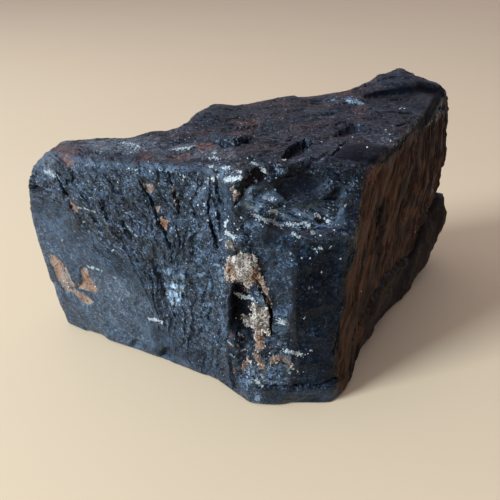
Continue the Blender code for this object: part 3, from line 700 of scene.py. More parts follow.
    # grey tone of the coal with a painted blue sheen of window light, strongest on the slab
    film = np.clip(0.62 * z.slab + 0.08 * z.slab * (1 - smooth(z.v, 225, 260)) + 0.38 * z.calm, 0, 1)
    film = np.maximum(film, 0.30 * z.facet)
    for share, shape in (
        (0.98, [(236, 196), (250, 185), (272, 188), (300, 206), (345, 190), (348, 222), (320, 240), (292, 240), (262, 236), (240, 226)]),
        (0.70, [(236, 215), (270, 215), (296, 232), (298, 270), (294, 330), (278, 334), (272, 300), (262, 262), (240, 250)]),
        (0.50, [(262, 335), (294, 332), (300, 386), (262, 388)]), (0.55, [(232, 388), (340, 384), (350, 372), (350, 410), (250, 414)]),
        (0.40, [(296, 240), (350, 230), (356, 262), (300, 268)]), (0.24, [(296, 262), (356, 258), (344, 345), (338, 392), (298, 392)]), (0.30, [(272, 178), (330, 165), (350, 190), (300, 205)]),
    ):
        film = np.maximum(film, share * d.patch(shape, 8.0))
    film = film * (0.8 + 0.35 * fbm(p / 9.0, 61, 3)) * (1 - 0.42 * z.bevel)
    brown = z.brown
    dust = np.maximum(0.9 * d.patch([(84, 270), (100, 270), (125, 282), (150, 300), (160, 318), (140, 318), (110, 302), (90, 288)], 7.0), 0.5 * d.patch([(70, 292), (120, 300), (160, 326), (150, 345), (90, 330)], 10.0))

    # the crevice at the right, whichever way its walls face, darkened as painted shade
    away = np.linalg.norm(CAM_MM - p, axis=1)
    seam = Draw(p, np.ones(len(p)), 0.5).stroke([(362, 330, 4), (376, 297, 4), (389, 275, 4), (409, 257, 4), (418.4, 237, 4), (423, 216, 4), (437, 200, 5)], 2.0)
    here = away[(seam > 0.5) & (seen > 0.6)]
    seam = seam * (1 - smooth(np.abs(away - np.median(here)), 22, 30))
    dark = np.maximum(dark, 0.85 * seam * (1 - z.brown))

    # the unseen sides: grey tone and painted sheen, brown fibre and crust by rules of their own
    hide = (1 - seen) * (1 - top) * (1 - seam)
    film += hide * (0.12 + 0.3 * smooth(fbm(p / 26.0, 71, 3), -0.1, 0.4))
    slab_x, face_x, behind_x = grain_ways(p, z.u, z.v)
    sheets = fbm(stretched(behind_x / 17.0, p[:, 1] / 60.0, p[:, 2] / 75.0), 72, 4, 0.6)
    end = smooth(p[:, 0], 20, 60)
    brown += hide * smooth(sheets + 0.40 * end, 0.20, 0.60) * smooth(p[:, 0], -70, -45) * 0.9
    clay = np.maximum(clay, (1 - seen) * smooth(fbm(p / 11.0, 73, 4, 0.6), 0.62, 0.8) * smooth(fbm(p / 30.0, 91, 2), -0.05, 0.2))
    orange = np.maximum(orange, (1 - seen) * smooth(perlin(p / 9.0, 74), 0.0, 0.3))
    sprinkle = np.maximum(sprinkle, hide * 0.2 * smooth(fbm(p / 16.0, 75, 2), 0.1, 0.4))
    quiet = np.maximum(quiet, hide * 0.8 * smooth(fbm(p / 21.0, 76, 2), 0.0, 0.3))

    runs = stretched((p[:, 0] * 0.97 + p[:, 1] * 0.22) * 0.16, p[:, 1] * 0.97 - p[:, 0] * 0.22, p[:, 2] * 0.5)
    lanes = mesh.attributes.new("runs", "FLOAT_VECTOR", "POINT")
    lanes.data.foreach_set("vector", np.ascontiguousarray(runs, dtype=np.float32).ravel())
    flow = mix(p, stretched(slab_x * 1.1, p[:, 1] * 0.6, p[:, 2] * 0.85), (z.slab * (1 - 0.7 * z.calm) * (1 - top))[:, None])
    streak = stretched((z.u * 0.95 + z.v * 0.31) * 0.11, (z.v * 0.95 - z.u * 0.31) * 0.42, 0 * z.u)
    flow = mix(flow, streak, z.bulge[:, None])
    lanes = mesh.attributes.new("flow", "FLOAT_VECTOR", "POINT")
    lanes.data.foreach_set("vector", np.ascontiguousarray(flow, dtype=np.float32).ravel())
    across = np.where(z.brown * seen > 0.02, face_x, np.where(seen > 0.5, slab_x, behind_x))
    speck = np.clip(speck, 0, 1)
    for name, values in (
        ("brown", brown), ("clay", clay), ("orange", orange), ("speck", speck), ("rust", rust), ("gloss", gloss), ("dark", dark),
        ("quiet", quiet), ("film", film), ("top", top), ("dust", dust), ("glint", glint), ("shine", shine), ("milky", milky), ("thread", thread), ("straw", straw), ("mass", z.mass), ("left", smooth(205 - z.u, 0, 15) * seen), ("across", across), ("along", p[:, 2]),
    ):
        attribute(mesh, name, values if name in ("across", "along") else np.clip(values, 0, 1))
    warm = np.maximum(np.maximum(np.maximum(brown, z.mass), seam), d.patch(RIGHT_SIDE, 2.0) * (1 - smooth(normals(mesh)[:, 2], 0.45, 0.7)))
    shade = np.maximum(z.edge * smooth(z.u, 362, 380) * (1 - brown), d.patch([(297, 246), (330, 240), (352, 238), (358, 262), (348, 300), (342, 345), (338, 390), (300, 390), (296, 330)], 2.0))
    shade = np.maximum(np.maximum(shade, fine.patch(RECESS, 1.0) * (1 - smooth(z.v + 11.0 * fbm(p / 3.5, 92, 2), 330, 336))), np.maximum(0.9 * z.facet, ledge_shadow))
    return {"warm": warm, "shade": shade, "clay": clay, "orange": orange, "speck": speck, "sprinkle": sprinkle, "quiet": quiet, "gloss": gloss, "brown": brown, "dark": dark, "slab": z.slab, "top": top, "seen": seen, "left": smooth(205 - z.u, 0, 15) * seen}


# ------------------------------------------------------------------ loose grains
ICO = []
GOLD = (1 + 5**0.5) / 2
for one in (-1, 1):
    for two in (-GOLD, GOLD):
        ICO += [(one, two, 0), (0, one, two), (two, 0, one)]
ICO = np.array(ICO, float) / math.hypot(1, GOLD)


def hull_faces(verts):
    bm = bmesh.new()
    made = [bm.verts.new(co) for co in verts]
    for k, vert in enumerate(made):
        vert.index = k
    bmesh.ops.convex_hull(bm, input=bm.verts)
    bmesh.ops.recalc_face_normals(bm, faces=bm.faces)
    bm.verts.index_update()
    faces = [[made.index(x) for x in f.verts] for f in bm.faces]
    bm.free()
    return np.array(faces)


def scatter(mesh, density, rng):
    """Random points on the mesh: density is per square mm at each vertex. Returns triangle numbers, places, normals."""
    tri = np.empty(len(mesh.polygons) * 3, np.int32)
    mesh.polygons.foreach_get("vertices", tri)
    tri = tri.reshape(-1, 3)
    p = points(mesh)
    a, b, c = p[tri[:, 0]], p[tri[:, 1]], p[tri[:, 2]]
    cross = np.cross(b - a, c - a)
    area = np.linalg.norm(cross, axis=1) / 2
    count = rng.poisson(area * density[tri].mean(1))
    pick = np.repeat(np.arange(len(tri)), count)
    r, s = rng.random(len(pick)), rng.random(len(pick))
    flip = r + s > 1
    r[flip], s[flip] = 1 - r[flip], 1 - s[flip]
    place = a[pick] + (b - a)[pick] * r[:, None] + (c - a)[pick] * s[:, None]
    normal = cross[pick] / np.maximum(np.linalg.norm(cross[pick], axis=1), 1e-12)[:, None]
    keep = place[:, 2] > 0.8
    return tri[pick][keep], place[keep], normal[keep]


def pebbles(name, place, normal, size, flat, rng, tone, warm, material, rugged=0.25, sink=0.2):
    """Closed little stones, one at each place, as one mesh. size is the radius in mm."""
    count = len(place)
    faces = hull_faces(ICO)
    side = np.cross(normal, rng.normal(size=(count, 3)))
    side /= np.linalg.norm(side, axis=1, keepdims=True)
    other = np.cross(normal, side)
    long = 1 + 0.45 * (rng.random(count) - 0.3)
    shape = ICO[None] * (1 + rugged * (rng.random((count, 12, 1)) * 2 - 1))
    turn = rng.normal(size=(count, 3, 3))
    turn, _ = np.linalg.qr(turn)
    shape = shape @ turn
    local = shape * np.stack([size * long, size / long, size * flat], 1)[:, None, :]
    verts = place[:, None] + local[:, :, :1] * side[:, None] + local[:, :, 1:2] * other[:, None] + (local[:, :, 2:] + (size * flat * sink)[:, None, None]) * normal[:, None]
    verts[:, :, 2] = np.maximum(verts[:, :, 2], 0.05)
    tri = (faces[None] + 12 * np.arange(count)[:, None, None]).reshape(-1, 3)
    mesh = bpy.data.meshes.new(name)
    mesh.vertices.add(count * 12)
    mesh.vertices.foreach_set("co", (verts * MM).astype(np.float32).ravel())
    mesh.loops.add(len(tri) * 3)
    mesh.loops.foreach_set("vertex_index", tri.astype(np.int32).ravel())
    mesh.polygons.add(len(tri))
    mesh.polygons.foreach_set("loop_start", np.arange(0, len(tri) * 3, 3, dtype=np.int32))
    mesh.update(calc_edges=True)
    mesh.validate()
    attribute(mesh, "tone", np.repeat(tone, 12))
    attribute(mesh, "warm", np.repeat(warm, 12))
    obj = bpy.data.objects.new(name, mesh)
    bpy.context.scene.collection.objects.link(obj)
    mesh.materials.append(material)
    mesh.shade_flat()
    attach(obj, "root")
    print(name, count, "grains", len(tri), "faces")
    return obj


def grains(mesh, field):
    rng = np.random.default_rng(20)
    p = points(mesh)

    # the tan and orange crusts
    gate = smooth(field["clay"], 0.02, 0.3)
    drips = p / np.array([1.5, 1.5, 3.6])
    ragged = smooth(field["clay"] + gate * (1.05 * fbm(drips, 81, 2) + 0.60 * perlin(p / np.array([2.6, 2.6, 4.2]), 82)), 0.50, 0.66)
    tri, place, normal = scatter(mesh, 8.0 * ragged * (1 - 0.93 * field["left"]), rng)
    warm = field["orange"][tri].mean(1) + 0.40 * perlin(place / 1.8, 83)
    tone = np.clip(0.50 + 0.5 * fbm(place / 1.5, 84, 2) + 0.5 * perlin(place / np.array([1.6, 1.6, 4.5]), 88) + 0.3 * (rng.random(len(place)) - 0.5), 0, 1)
    size = 0.16 + 0.26 * rng.random(len(place)) ** 2
    pebbles("mineral_crust", place, normal, size, 0.75, rng, tone, np.clip(warm, 0, 1), crust_material(), 0.35, 0.25)

    # white specks: drawn bands, single dots and a thin scatter
    clump = smooth(fbm(p / 1.1, 85, 2), -0.1, 0.3)
    gate = smooth(field["speck"], 0.02, 0.3)
    bands = smooth(field["speck"] + gate * 0.5 * fbm(p / 1.4, 86, 2), 0.40, 0.65)
    density = 5.5 * bands + 0.5 * field["sprinkle"] * clump
    u, v = project(p)
    density = density * (1 - 0.8 * ragged)
    tri, place, normal = scatter(mesh, density, rng)
    in_band = smooth(bands[tri].mean(1), 0.1, 0.5)
    spots, n = [], normals(mesh)
    for x, y in DOTS:
        r2 = (u - x) ** 2 + (v - y) ** 2 + 1e6 * (field["seen"] < 0.5)
        spots += np.argsort(r2)[:rng.integers(1, 3)].tolist()
    place, normal = np.vstack([place, p[spots]]), np.vstack([normal, n[spots]])
    size = 0.10 + 0.16 * rng.random(len(place)) ** 2
    size[:len(in_band)] += in_band * (0.05 + 0.16 * rng.random(len(in_band)) ** 2)
    size[-len(spots):] = 0.22 + 0.16 * rng.random(len(spots))
    tone = np.clip(0.75 + 0.5 * (rng.random(len(place)) - 0.5), 0, 1)
    pebbles("white_grains", place, normal, size, 0.5, rng, tone, 0.12 * rng.random(len(place)), white_material(), 0.3, 0.2)


# ------------------------------------------------------------------ materials
class Tree:
    """Builds a node tree with short calls. A value is a number, a colour or another node's socket."""

    def __init__(self, name):
        self.mat = bpy.data.materials.new(name)
        self.mat.use_nodes = True
        self.nodes = self.mat.node_tree.nodes
        self.links = self.mat.node_tree.links
        self.nodes.clear()

    def put(self, socket, value):
        if value is None:
            return
        if isinstance(value, bpy.types.NodeSocket):
            self.links.new(value, socket)
        elif hasattr(socket.default_value, "__len__") and not hasattr(value, "__len__"):
            socket.default_value = [value] * len(socket.default_value)
        elif hasattr(value, "__len__") and len(value) == 3 and len(socket.default_value) == 4:
            socket.default_value = (*value, 1.0)
        else:
            socket.default_value = value

    def node(self, kind, inputs=(), **props):
        made = self.nodes.new(kind)
        for key, value in props.items():
            setattr(made, key, value)
        for key, value in dict(inputs).items():
            self.put(made.inputs[key], value)
        return made

    def math(self, op, a, b=None, c=None, clamp=False):
        made = self.node("ShaderNodeMath", operation=op, use_clamp=clamp)
        for socket, value in zip(made.inputs, (a, b, c)):
            self.put(socket, value)
        return made.outputs[0]

    def vmath(self, op, a, b=None, scale=None):
        made = self.node("ShaderNodeVectorMath", operation=op)
        self.put(made.inputs[0], a)
        if b is not None:
            self.put(made.inputs[1], b)
        if scale is not None:
            self.put(made.inputs["Scale"], scale)
        return made.outputs[0]

    def mix(self, t, a, b):
        made = self.node("ShaderNodeMix", data_type="RGBA", clamp_factor=True)
        self.put(made.inputs[0], t)
        self.put(made.inputs[6], a)
        self.put(made.inputs[7], b)
        return made.outputs[2]

    def lerp(self, t, a, b):
        made = self.node("ShaderNodeMix", data_type="FLOAT", clamp_factor=True)
        self.put(made.inputs[0], t)
        self.put(made.inputs[2], a)
        self.put(made.inputs[3], b)
        return made.outputs[0]

    def ramp(self, value, lo, hi, a=0.0, b=1.0):
        made = self.node("ShaderNodeMapRange", interpolation_type="SMOOTHSTEP", clamp=True)
        for key, v in (("Value", value), ("From Min", lo), ("From Max", hi), ("To Min", a), ("To Max", b)):
            self.put(made.inputs[key], v)
        return made.outputs["Result"]

    def noise(self, vector, scale, detail=3.0, rough=0.55, twist=0.0):
        return self.node("ShaderNodeTexNoise", {"Vector": vector, "Scale": scale, "Detail": detail, "Roughness": rough, "Distortion": twist})

    def voronoi(self, vector, scale, feature="F1"):
        return self.node("ShaderNodeTexVoronoi", {"Vector": vector, "Scale": scale}, feature=feature)

    def attr(self, name):
        return self.node("ShaderNodeAttribute", attribute_name=name).outputs["Fac"]


def coal_material(name, tint, ior):
    t = Tree(name)
    where = t.node("ShaderNodeTexCoord").outputs["Object"]
    mm = t.vmath("SCALE", where, scale=1000.0)
    names = ("brown", "clay", "orange", "speck", "rust", "gloss", "dark", "quiet", "film", "top", "across", "along", "glint", "shine", "milky", "mass", "dust", "left", "thread", "straw")
    brown, clay, orange, speck, rust, gloss, dark, quiet, film, top, across, along, glint, shine, milky, mass, dust, left, string, straw = [t.attr(k) for k in names]
    flow = t.node("ShaderNodeAttribute", attribute_name="flow").outputs["Vector"]
    runs = t.node("ShaderNodeAttribute", attribute_name="runs").outputs["Vector"]
    strand = t.node("ShaderNodeCombineXYZ", {"X": across, "Y": t.math("MULTIPLY", along, 0.055), "Z": 0.0}).outputs[0]

    def dice(texture):
        return t.node("ShaderNodeSeparateColor", {"Color": texture.outputs["Color"]}).outputs

    def lean(texture, amount):
        return t.vmath("SCALE", t.vmath("SUBTRACT", texture.outputs["Color"], (0.5, 0.5, 0.5)), scale=amount)

    # edges of the drawn patches get broken up by noise
    crumbs = t.noise(mm, 1.1, 3.0, 0.6).outputs["Fac"]
    crumbs2 = t.noise(mm, 2.6, 2.0, 0.6).outputs["Fac"]
    broken = t.math("SUBTRACT", crumbs, 0.5)
    clay_on = t.ramp(t.math("ADD", clay, t.math("MULTIPLY", broken, t.math("MULTIPLY", clay, t.lerp(left, 1.4, 0.3)))), 0.42, t.lerp(left, 0.56, 0.75))
    brown_on = t.ramp(t.math("ADD", brown, t.math("MULTIPLY", broken, 0.5)), 0.4, 0.6)

    # flakes: each cell has its own tilt and its own tone
    warp = t.vmath("SUBTRACT", t.noise(flow, 0.9, 3.0, 0.7).outputs["Color"], (0.5, 0.5, 0.5))
    slide = t.vmath("ADD", flow, t.vmath("SCALE", warp, scale=2.4))
    flake_l = t.voronoi(t.vmath("ADD", mm, t.vmath("SCALE", warp, scale=2.0)), 0.42)
    flake_a = t.voronoi(slide, 0.8)
    flake_b = t.voronoi(slide, 1.5)
    flake_c = t.voronoi(flow, 2.4)
    lively = t.ramp(t.noise(flow, 0.16, 3.0, 0.6).outputs["Fac"], 0.36, 0.62, 0.15, 1.0)
    dice_l, dice_a, dice_b, dice_c = dice(flake_l), dice(flake_a), dice(flake_b), dice(flake_c)

    # thin pale mineral under the loose grains
    grain_on = t.math("MULTIPLY", t.ramp(t.math("ADD", speck, t.math("MULTIPLY", broken, 1.1)), 0.58, 0.70), t.ramp(crumbs2, 0.38, 0.46))

    # black coal and its grey-blue haze, part grey tone and part painted blue sheen of window light, both mottled flake
    # by flake
    planes = t.voronoi(t.vmath("ADD", mm, t.vmath("SCALE", warp, scale=4.0)), 0.17)
    flecks = t.math("MULTIPLY", t.lerp(t.math("POWER", dice_b[1], 2.0), 0.18, 2.3), t.lerp(t.math("POWER", dice_c[1], 1.5), 0.25, 2.0))
    flecks = t.lerp(t.math("MULTIPLY", quiet, 0.55), flecks, 1.0)
    flecks = t.math("MULTIPLY", flecks, t.lerp(dice(planes)[0], 0.65, 1.35))
    black = t.mix(t.lerp(lively, 0.25, 1.0), (0.0014, 0.0028, 0.0060), (0.0070, 0.0130, 0.0255))
    mottle = t.noise(mm, 0.5, 4.0, 0.65).outputs["Fac"]
    sheen_grey = t.mix(t.ramp(mottle, 0.32, 0.68), (0.0205, 0.0370, 0.0620), (0.052, 0.088, 0.140))
    sheen_grey = t.mix(t.ramp(t.noise(mm, 0.14, 4.0, 0.65).outputs["Fac"], 0.54, 0.74), sheen_grey, (0.026, 0.034, 0.046))
    colour = t.mix(t.math("MULTIPLY", film, t.ramp(t.noise(mm, 0.9, 3.0, 0.65).outputs["Fac"], 0.25, 0.6, 0.6, 1.0)), black, sheen_grey)
    dusty = t.math("MULTIPLY", dust, t.ramp(t.noise(mm, 0.7, 4.0, 0.7).outputs["Fac"], 0.33, 0.68))
    colour = t.mix(dusty, colour, (0.115, 0.155, 0.205))

    # the top: long fine fibres, mauve and blue-black, stained here and there
    fibre = t.noise(t.vmath("ADD", runs, t.vmath("SCALE", warp, scale=0.7)), 1.5, 4.0, 0.7).outputs["Fac"]
    long = t.mix(t.ramp(fibre, 0.40, 0.62), (0.0026, 0.0036, 0.0062), (0.040, 0.045, 0.062))
    long = t.mix(t.math("MULTIPLY", t.ramp(t.noise(runs, 0.22, 4.0, 0.6).outputs["Fac"], 0.50, 0.62), t.ramp(fibre, 0.35, 0.6, 0.25, 0.75)), long, (0.062, 0.026, 0.019))
    colour = t.mix(t.math("MULTIPLY", top, 0.85), colour, long)
    colour = t.vmath("SCALE", colour, scale=flecks)
    # painted glints: the brightest flecks of the sheen turn pale blue
    colour = t.mix(t.math("MULTIPLY", film, t.ramp(flecks, 1.1, 3.0, 0.0, 0.75)), colour, (0.120, 0.155, 0.190))
    # whitish-blue smears: part pale dust, part painted sheen
    smear_and_sheen_on = t.math("MULTIPLY", milky, t.ramp(t.math("ADD", t.math("MULTIPLY", fibre, 0.6), t.math("MULTIPLY", dice_b[0], 0.30)), 0.365, 0.50))
    colour = t.mix(smear_and_sheen_on, colour, t.mix(t.math("MULTIPLY", dice_b[2], dice_c[1]), (0.060, 0.080, 0.105), (0.52, 0.60, 0.66)))

    # painted glints: bright bluish-white flakes put into the colour
    glitter = t.math("MULTIPLY", t.ramp(dice_a[1], t.lerp(glint, 0.985, 0.30), t.lerp(glint, 1.0, 0.75)), t.ramp(glint, 0.05, 0.9))
    colour = t.mix(glitter, colour, t.mix(dice_b[0], (0.020, 0.034, 0.060), (0.15, 0.21, 0.29)))
    # painted highlights: large bright plates
    plates = t.ramp(flake_l.outputs["Distance"], 0.85, 0.45)
    lit = t.math("MULTIPLY", t.ramp(dice_l[0], t.lerp(shine, 1.0, -0.20), t.lerp(shine, 1.1, 0.20)), t.math("MULTIPLY", plates, t.ramp(shine, 0.02, 0.3)))
    plate_highlight = t.mix(t.math("MULTIPLY", t.math("MULTIPLY", dice_l[1], shine), t.ramp(crumbs, 0.3, 0.6, 0.5, 1.0)), (0.036, 0.066, 0.108), (0.58, 0.78, 0.95))
    colour = t.mix(lit, colour, plate_highlight)
    # painted glints: small bright sparks
    sparks = t.voronoi(mm, 1.15)
    spark = t.math("MULTIPLY", t.ramp(dice(sparks)[0], t.lerp(glint, 0.90, 0.76), t.lerp(glint, 0.97, 0.86)), t.ramp(sparks.outputs["Distance"], 0.34, 0.22))
    spark = t.math("MULTIPLY", spark, t.lerp(quiet, t.lerp(lively, 0.45, 1.0), 0.12))
    colour = t.mix(spark, colour, t.mix(dice(sparks)[1], (0.07, 0.09, 0.12), (0.50, 0.57, 0.62)))
    # painted glints: pin-point bright flecks
    pin_glint_cells = t.voronoi(slide, 1.9)
    pin_glint = t.math("MULTIPLY", t.ramp(dice(pin_glint_cells)[0], t.lerp(glint, 0.90, 0.80), t.lerp(glint, 0.95, 0.88)), t.ramp(pin_glint_cells.outputs["Distance"], 0.42, 0.30))
    pin_glint = t.math("MULTIPLY", pin_glint, t.lerp(quiet, t.lerp(lively, 0.35, 1.0), 0.15))
    colour = t.mix(pin_glint, colour, t.mix(dice(pin_glint_cells)[1], (0.11, 0.14, 0.17), (0.40, 0.47, 0.52)))
    # painted shade: near black where the painted shade field lies
    colour = t.mix(dark, colour, (0.0030, 0.0030, 0.0036))
    # pale threads, one of them a painted highlight
    colour = t.mix(t.ramp(string, 0.2, 0.65), colour, (0.30, 0.35, 0.38))

    # brown fibre
    thread = t.noise(strand, 1.0, 5.0, 0.7, 0.2).outputs["Fac"]
    band = t.noise(strand, 0.24, 3.0, 0.6).outputs["Fac"]
    slit = t.ramp(t.noise(strand, 0.8, 4.0, 0.65).outputs["Fac"], 0.54, 0.61)
    wood = t.mix(t.ramp(thread, 0.36, 0.64), (0.012, 0.0055, 0.0042), (0.070, 0.026, 0.0150))
    wood = t.mix(t.math("MULTIPLY", t.ramp(band, 0.48, 0.60), t.ramp(thread, 0.34, 0.56, 0.2, 1.0)), wood, (0.125, 0.056, 0.030))
    wood = t.mix(t.ramp(t.noise(mm, 0.09, 3.0, 0.6).outputs["Fac"], 0.47, 0.60), wood, (0.0115, 0.0065, 0.0055))
    wood = t.mix(t.math("MULTIPLY", straw, t.ramp(thread, 0.36, 0.56, 0.1, 0.85)), wood, (0.104, 0.050, 0.028))
    wood = t.mix(slit, wood, (0.0045, 0.0035, 0.0035))
    # painted shade on the fibre face as well
    wood = t.mix(dark, wood, (0.004, 0.003, 0.003))
    colour = t.mix(brown_on, colour, wood)
    lump_right = t.mix(t.ramp(mottle, 0.35, 0.65), (0.0030, 0.0022, 0.0022), (0.013, 0.0075, 0.0062))
    lump_right = t.mix(t.ramp(t.noise(mm, 0.055, 3.0, 0.6).outputs["Fac"], 0.46, 0.60), lump_right, (0.0035, 0.0050, 0.0090))
    colour = t.mix(t.math("MULTIPLY", mass, 0.9), colour, lump_right)

    # stains, clay and white mineral
    colour = t.mix(t.math("MULTIPLY", rust, t.ramp(crumbs, 0.38, 0.6)), colour, t.mix(dice_b[2], (0.095, 0.035, 0.020), (0.27, 0.125, 0.085)))
    under = t.mix(t.ramp(crumbs2, 0.3, 0.7), (0.04, 0.033, 0.028), (0.18, 0.15, 0.12))
    slow_clay = t.noise(mm, 0.30, 3.0, 0.6).outputs["Fac"]
    pale = t.mix(t.ramp(slow_clay, 0.35, 0.65), (0.155, 0.125, 0.105), (0.30, 0.235, 0.190))
    tawny = t.mix(t.ramp(slow_clay, 0.35, 0.65), (0.19, 0.095, 0.055), (0.34, 0.200, 0.125))
    smooth_clay = t.mix(t.ramp(t.math("ADD", orange, t.math("MULTIPLY", broken, 0.5)), 0.15, 0.7), pale, tawny)
    colour = t.mix(clay_on, colour, t.mix(left, under, smooth_clay))
    colour = t.mix(grain_on, colour, t.mix(dice_b[1], (0.20, 0.25, 0.27), (0.58, 0.65, 0.66)))

    rough = t.lerp(dice_a[2], 0.12, 0.38)
    rough = t.lerp(quiet, rough, 0.40)
    rough = t.lerp(gloss, rough, 0.16)
    rough = t.lerp(brown_on, rough, 0.62)
    rough = t.lerp(t.math("MULTIPLY", mass, 0.8), rough, 0.6)
    rough = t.lerp(t.ramp(dark, 0.45, 0.9, 0.0, 0.85), rough, 0.75)
    rough = t.lerp(t.math("MAXIMUM", clay_on, grain_on), rough, 0.85)

    geometry = t.node("ShaderNodeNewGeometry").outputs["Normal"]
    turn = t.vmath("ADD", t.vmath("ADD", lean(flake_a, 0.65), lean(flake_b, 1.15)), lean(flake_c, 0.65))
    force = t.lerp(quiet, t.lerp(lively, 0.6, 1.15), 0.24)
    force = t.math("MULTIPLY", force, t.lerp(dice(planes)[1], 0.55, 1.2))
    force = t.lerp(t.math("MULTIPLY", gloss, 0.4), force, 1.0)
    force = t.lerp(brown_on, force, 0.12)
    force = t.lerp(t.math("MAXIMUM", clay_on, grain_on), force, 0.3)
    bent = t.vmath("ADD", geometry, t.vmath("SCALE", turn, scale=force))
    bent = t.vmath("ADD", bent, t.vmath("SCALE", lean(flake_l, 1.5), scale=glint))
    bent = t.vmath("NORMALIZE", t.vmath("ADD", bent, t.vmath("SCALE", (-0.16, -0.06, 0.26), scale=glint)))

    height = t.math("ADD", t.math("MULTIPLY", t.noise(mm, 1.6, 4.0, 0.7).outputs["Fac"], 0.5), t.math("MULTIPLY", crumbs2, t.lerp(clay_on, 0.15, 0.8)))
    height = t.math("ADD", height, t.math("MULTIPLY", t.math("MULTIPLY", thread, brown_on), 1.6))
    height = t.math("SUBTRACT", height, t.math("MULTIPLY", t.math("MULTIPLY", slit, brown_on), 1.2))
    height = t.math("ADD", height, t.math("MULTIPLY", t.math("MULTIPLY", fibre, top), 1.0))
    bump = t.node("ShaderNodeBump", {"Strength": 0.6, "Distance": 0.0004, "Height": height, "Normal": bent}).outputs[0]

    shader = t.node("ShaderNodeBsdfPrincipled", {"Base Color": colour, "Roughness": rough, "Normal": bump})
    shader.inputs["IOR"].default_value = ior
    shader.inputs["Specular Tint"].default_value = (*tint, 1.0)
    out = t.node("ShaderNodeOutputMaterial")
    t.links.new(shader.outputs[0], out.inputs[0])
    return t.mat


def crust_material():
    t = Tree("mineral crust")
    mm = t.vmath("SCALE", t.node("ShaderNodeTexCoord").outputs["Object"], scale=1000.0)
    tone, warm = t.attr("tone"), t.attr("warm")
    fine = t.noise(mm, 2.2, 3.0, 0.6).outputs["Fac"]
    tone = t.math("ADD", tone, t.math("MULTIPLY", t.math("SUBTRACT", fine, 0.5), 0.8), clamp=True)
    pale = t.mix(tone, (0.075, 0.062, 0.050), (0.64, 0.58, 0.51))
    tawny = t.mix(tone, (0.09, 0.052, 0.034), (0.50, 0.32, 0.22))
    shader = t.node("ShaderNodeBsdfPrincipled", {"Base Color": t.mix(t.ramp(warm, 0.25, 0.7), pale, tawny), "Roughness": t.ramp(fine, 0.3, 0.7, 0.95, 0.75)})
    t.put(shader.inputs["Normal"], t.node("ShaderNodeBump", {"Strength": 0.4, "Distance": 0.0002, "Height": fine}).outputs[0])
    t.links.new(shader.outputs[0], t.node("ShaderNodeOutputMaterial").inputs[0])
    return t.mat


def white_material():
    t = Tree("white grains")
    mm = t.vmath("SCALE", t.node("ShaderNodeTexCoord").outputs["Object"], scale=1000.0)
    fine = t.noise(mm, 2.5, 2.0, 0.6).outputs["Fac"]
    tone = t.math("ADD", t.attr("tone"), t.math("MULTIPLY", t.math("SUBTRACT", fine, 0.5), 0.5), clamp=True)
    colour = t.mix(t.attr("warm"), t.mix(tone, (0.13, 0.155, 0.175), (0.54, 0.61, 0.63)), (0.40, 0.38, 0.30))
    shader = t.node("ShaderNodeBsdfPrincipled", {"Base Color": colour, "Roughness": t.ramp(fine, 0.3, 0.7, 0.75, 0.5)})
    t.links.new(shader.outputs[0], t.node("ShaderNodeOutputMaterial").inputs[0])
    return t.mat


def plain(name, colour, rough):
    t = Tree(name)
    where = t.node("ShaderNodeTexCoord").outputs["Object"]
    tone = t.ramp(t.noise(where, 6.0, 2.0).outputs["Fac"], 0.3, 0.7)
    shade = t.mix(tone, [c * 0.985 for c in colour], colour)
    shader = t.node("ShaderNodeBsdfPrincipled", {"Base Color": shade, "Roughness": rough})
    out = t.node("ShaderNodeOutputMaterial")
    t.links.new(shader.outputs[0], out.inputs[0])
    return t.mat


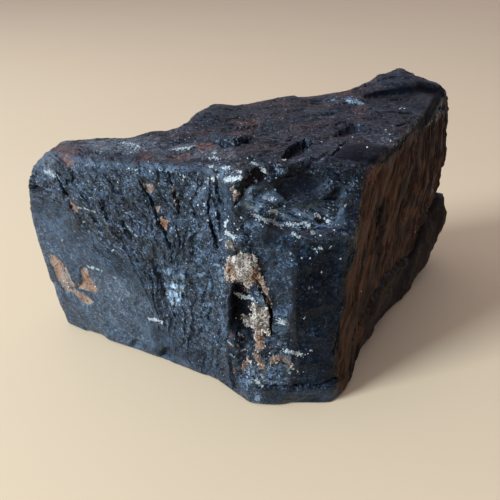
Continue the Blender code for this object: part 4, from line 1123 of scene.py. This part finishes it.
# ------------------------------------------------------------------ stage
def stage():
    mesh = bpy.data.meshes.new("floor")
    bm = bmesh.new()
    bmesh.ops.create_grid(bm, x_segments=1, y_segments=1, size=4.0)
    bm.to_mesh(mesh)
    bm.free()
    floor = bpy.data.objects.new("floor", mesh)
    floor.location = (0, 0, -0.0001)
    bpy.context.scene.collection.objects.link(floor)
    mesh.materials.append(plain("floor", (0.74, 0.585, 0.395), 0.6))

    def soft_light(name, way, distance, size, watts, colour):
        """An area light that looks at the lump from the direction way."""
        data = bpy.data.lights.new(name, "AREA")
        data.shape = "RECTANGLE"
        data.size, data.size_y = size
        data.energy = watts
        data.color = colour
        lamp = bpy.data.objects.new(name, data)
        place = Vector(way).normalized() * distance
        lamp.location = place + Vector((0, 0, 0.03))
        lamp.rotation_euler = (-place).to_track_quat("-Z", "Y").to_euler()
        lamp.visible_camera = False
        bpy.context.scene.collection.objects.link(lamp)

    soft_light("window", (-0.79, -0.39, 0.47), 1.6, (0.46, 0.42), 37.0, (0.76, 0.89, 1.0))

    world = bpy.data.worlds.new("room")
    world.use_nodes = True
    nodes, links = world.node_tree.nodes, world.node_tree.links
    sky = nodes["Background"]
    where = nodes.new("ShaderNodeTexCoord")
    axes = nodes.new("ShaderNodeSeparateXYZ")
    links.new(where.outputs["Generated"], axes.inputs[0])
    ceiling = nodes.new("ShaderNodeVectorMath")
    ceiling.operation = "DOT_PRODUCT"
    links.new(where.outputs["Generated"], ceiling.inputs[0])
    ceiling.inputs[1].default_value = (-0.50, -0.05, 0.86)
    colour = (0.080, 0.082, 0.115, 1.0)
    for way, low, high, far in ((axes.outputs["Y"], -0.35, 0.85, (0.36, 0.34, 0.39, 1.0)), (ceiling.outputs["Value"], 0.30, 0.95, (0.84, 0.80, 0.86, 1.0))):
        rise = nodes.new("ShaderNodeMapRange")
        rise.interpolation_type = "SMOOTHSTEP"
        rise.inputs["From Min"].default_value = low
        rise.inputs["From Max"].default_value = high
        links.new(way, rise.inputs["Value"])
        blend = nodes.new("ShaderNodeMix")
        blend.data_type = "RGBA"
        if isinstance(colour, tuple):
            blend.inputs[6].default_value = colour
        else:
            links.new(colour, blend.inputs[6])
        blend.inputs[7].default_value = far
        links.new(rise.outputs["Result"], blend.inputs[0])
        colour = blend.outputs[2]
    links.new(colour, sky.inputs["Color"])
    sky.inputs["Strength"].default_value = 1.0
    bpy.context.scene.world = world

    data = bpy.data.cameras.new("camera")
    data.sensor_width = 36.0
    data.lens = 36.0
    data.clip_start = 0.005
    data.clip_end = 20.0
    camera = bpy.data.objects.new("camera", data)
    camera.location = CAM_MM * MM
    camera.rotation_euler = (math.pi / 2 - PITCH, 0, 0)
    bpy.context.scene.collection.objects.link(camera)
    bpy.context.scene.camera = camera
    bpy.context.scene.view_settings.view_transform = "Standard"


stage()
lump, surface = grow()
field = paint(surface)
surface.materials.clear()
surface.materials.append(coal_material("coal", (0.63, 0.79, 1.0), 1.44))
surface.materials.append(coal_material("coal fibre", (1.0, 0.76, 0.66), 1.42))
surface.materials.append(coal_material("coal shade", (0.46, 0.66, 1.0), 1.22))
corners = np.empty(len(surface.polygons) * 3, np.int32)
surface.polygons.foreach_get("vertices", corners)
corners = corners.reshape(-1, 3)
slot = np.where(field["shade"][corners].mean(1) > 0.5, 2, 0)
slot[field["warm"][corners].mean(1) > 0.5] = 1
surface.polygons.foreach_set("material_index", slot.astype(np.int32))
surface.shade_smooth()
surface.set_sharp_from_angle(angle=math.radians(30.0))
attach(lump, "root")
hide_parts("coal_lump")
grains(surface, field)
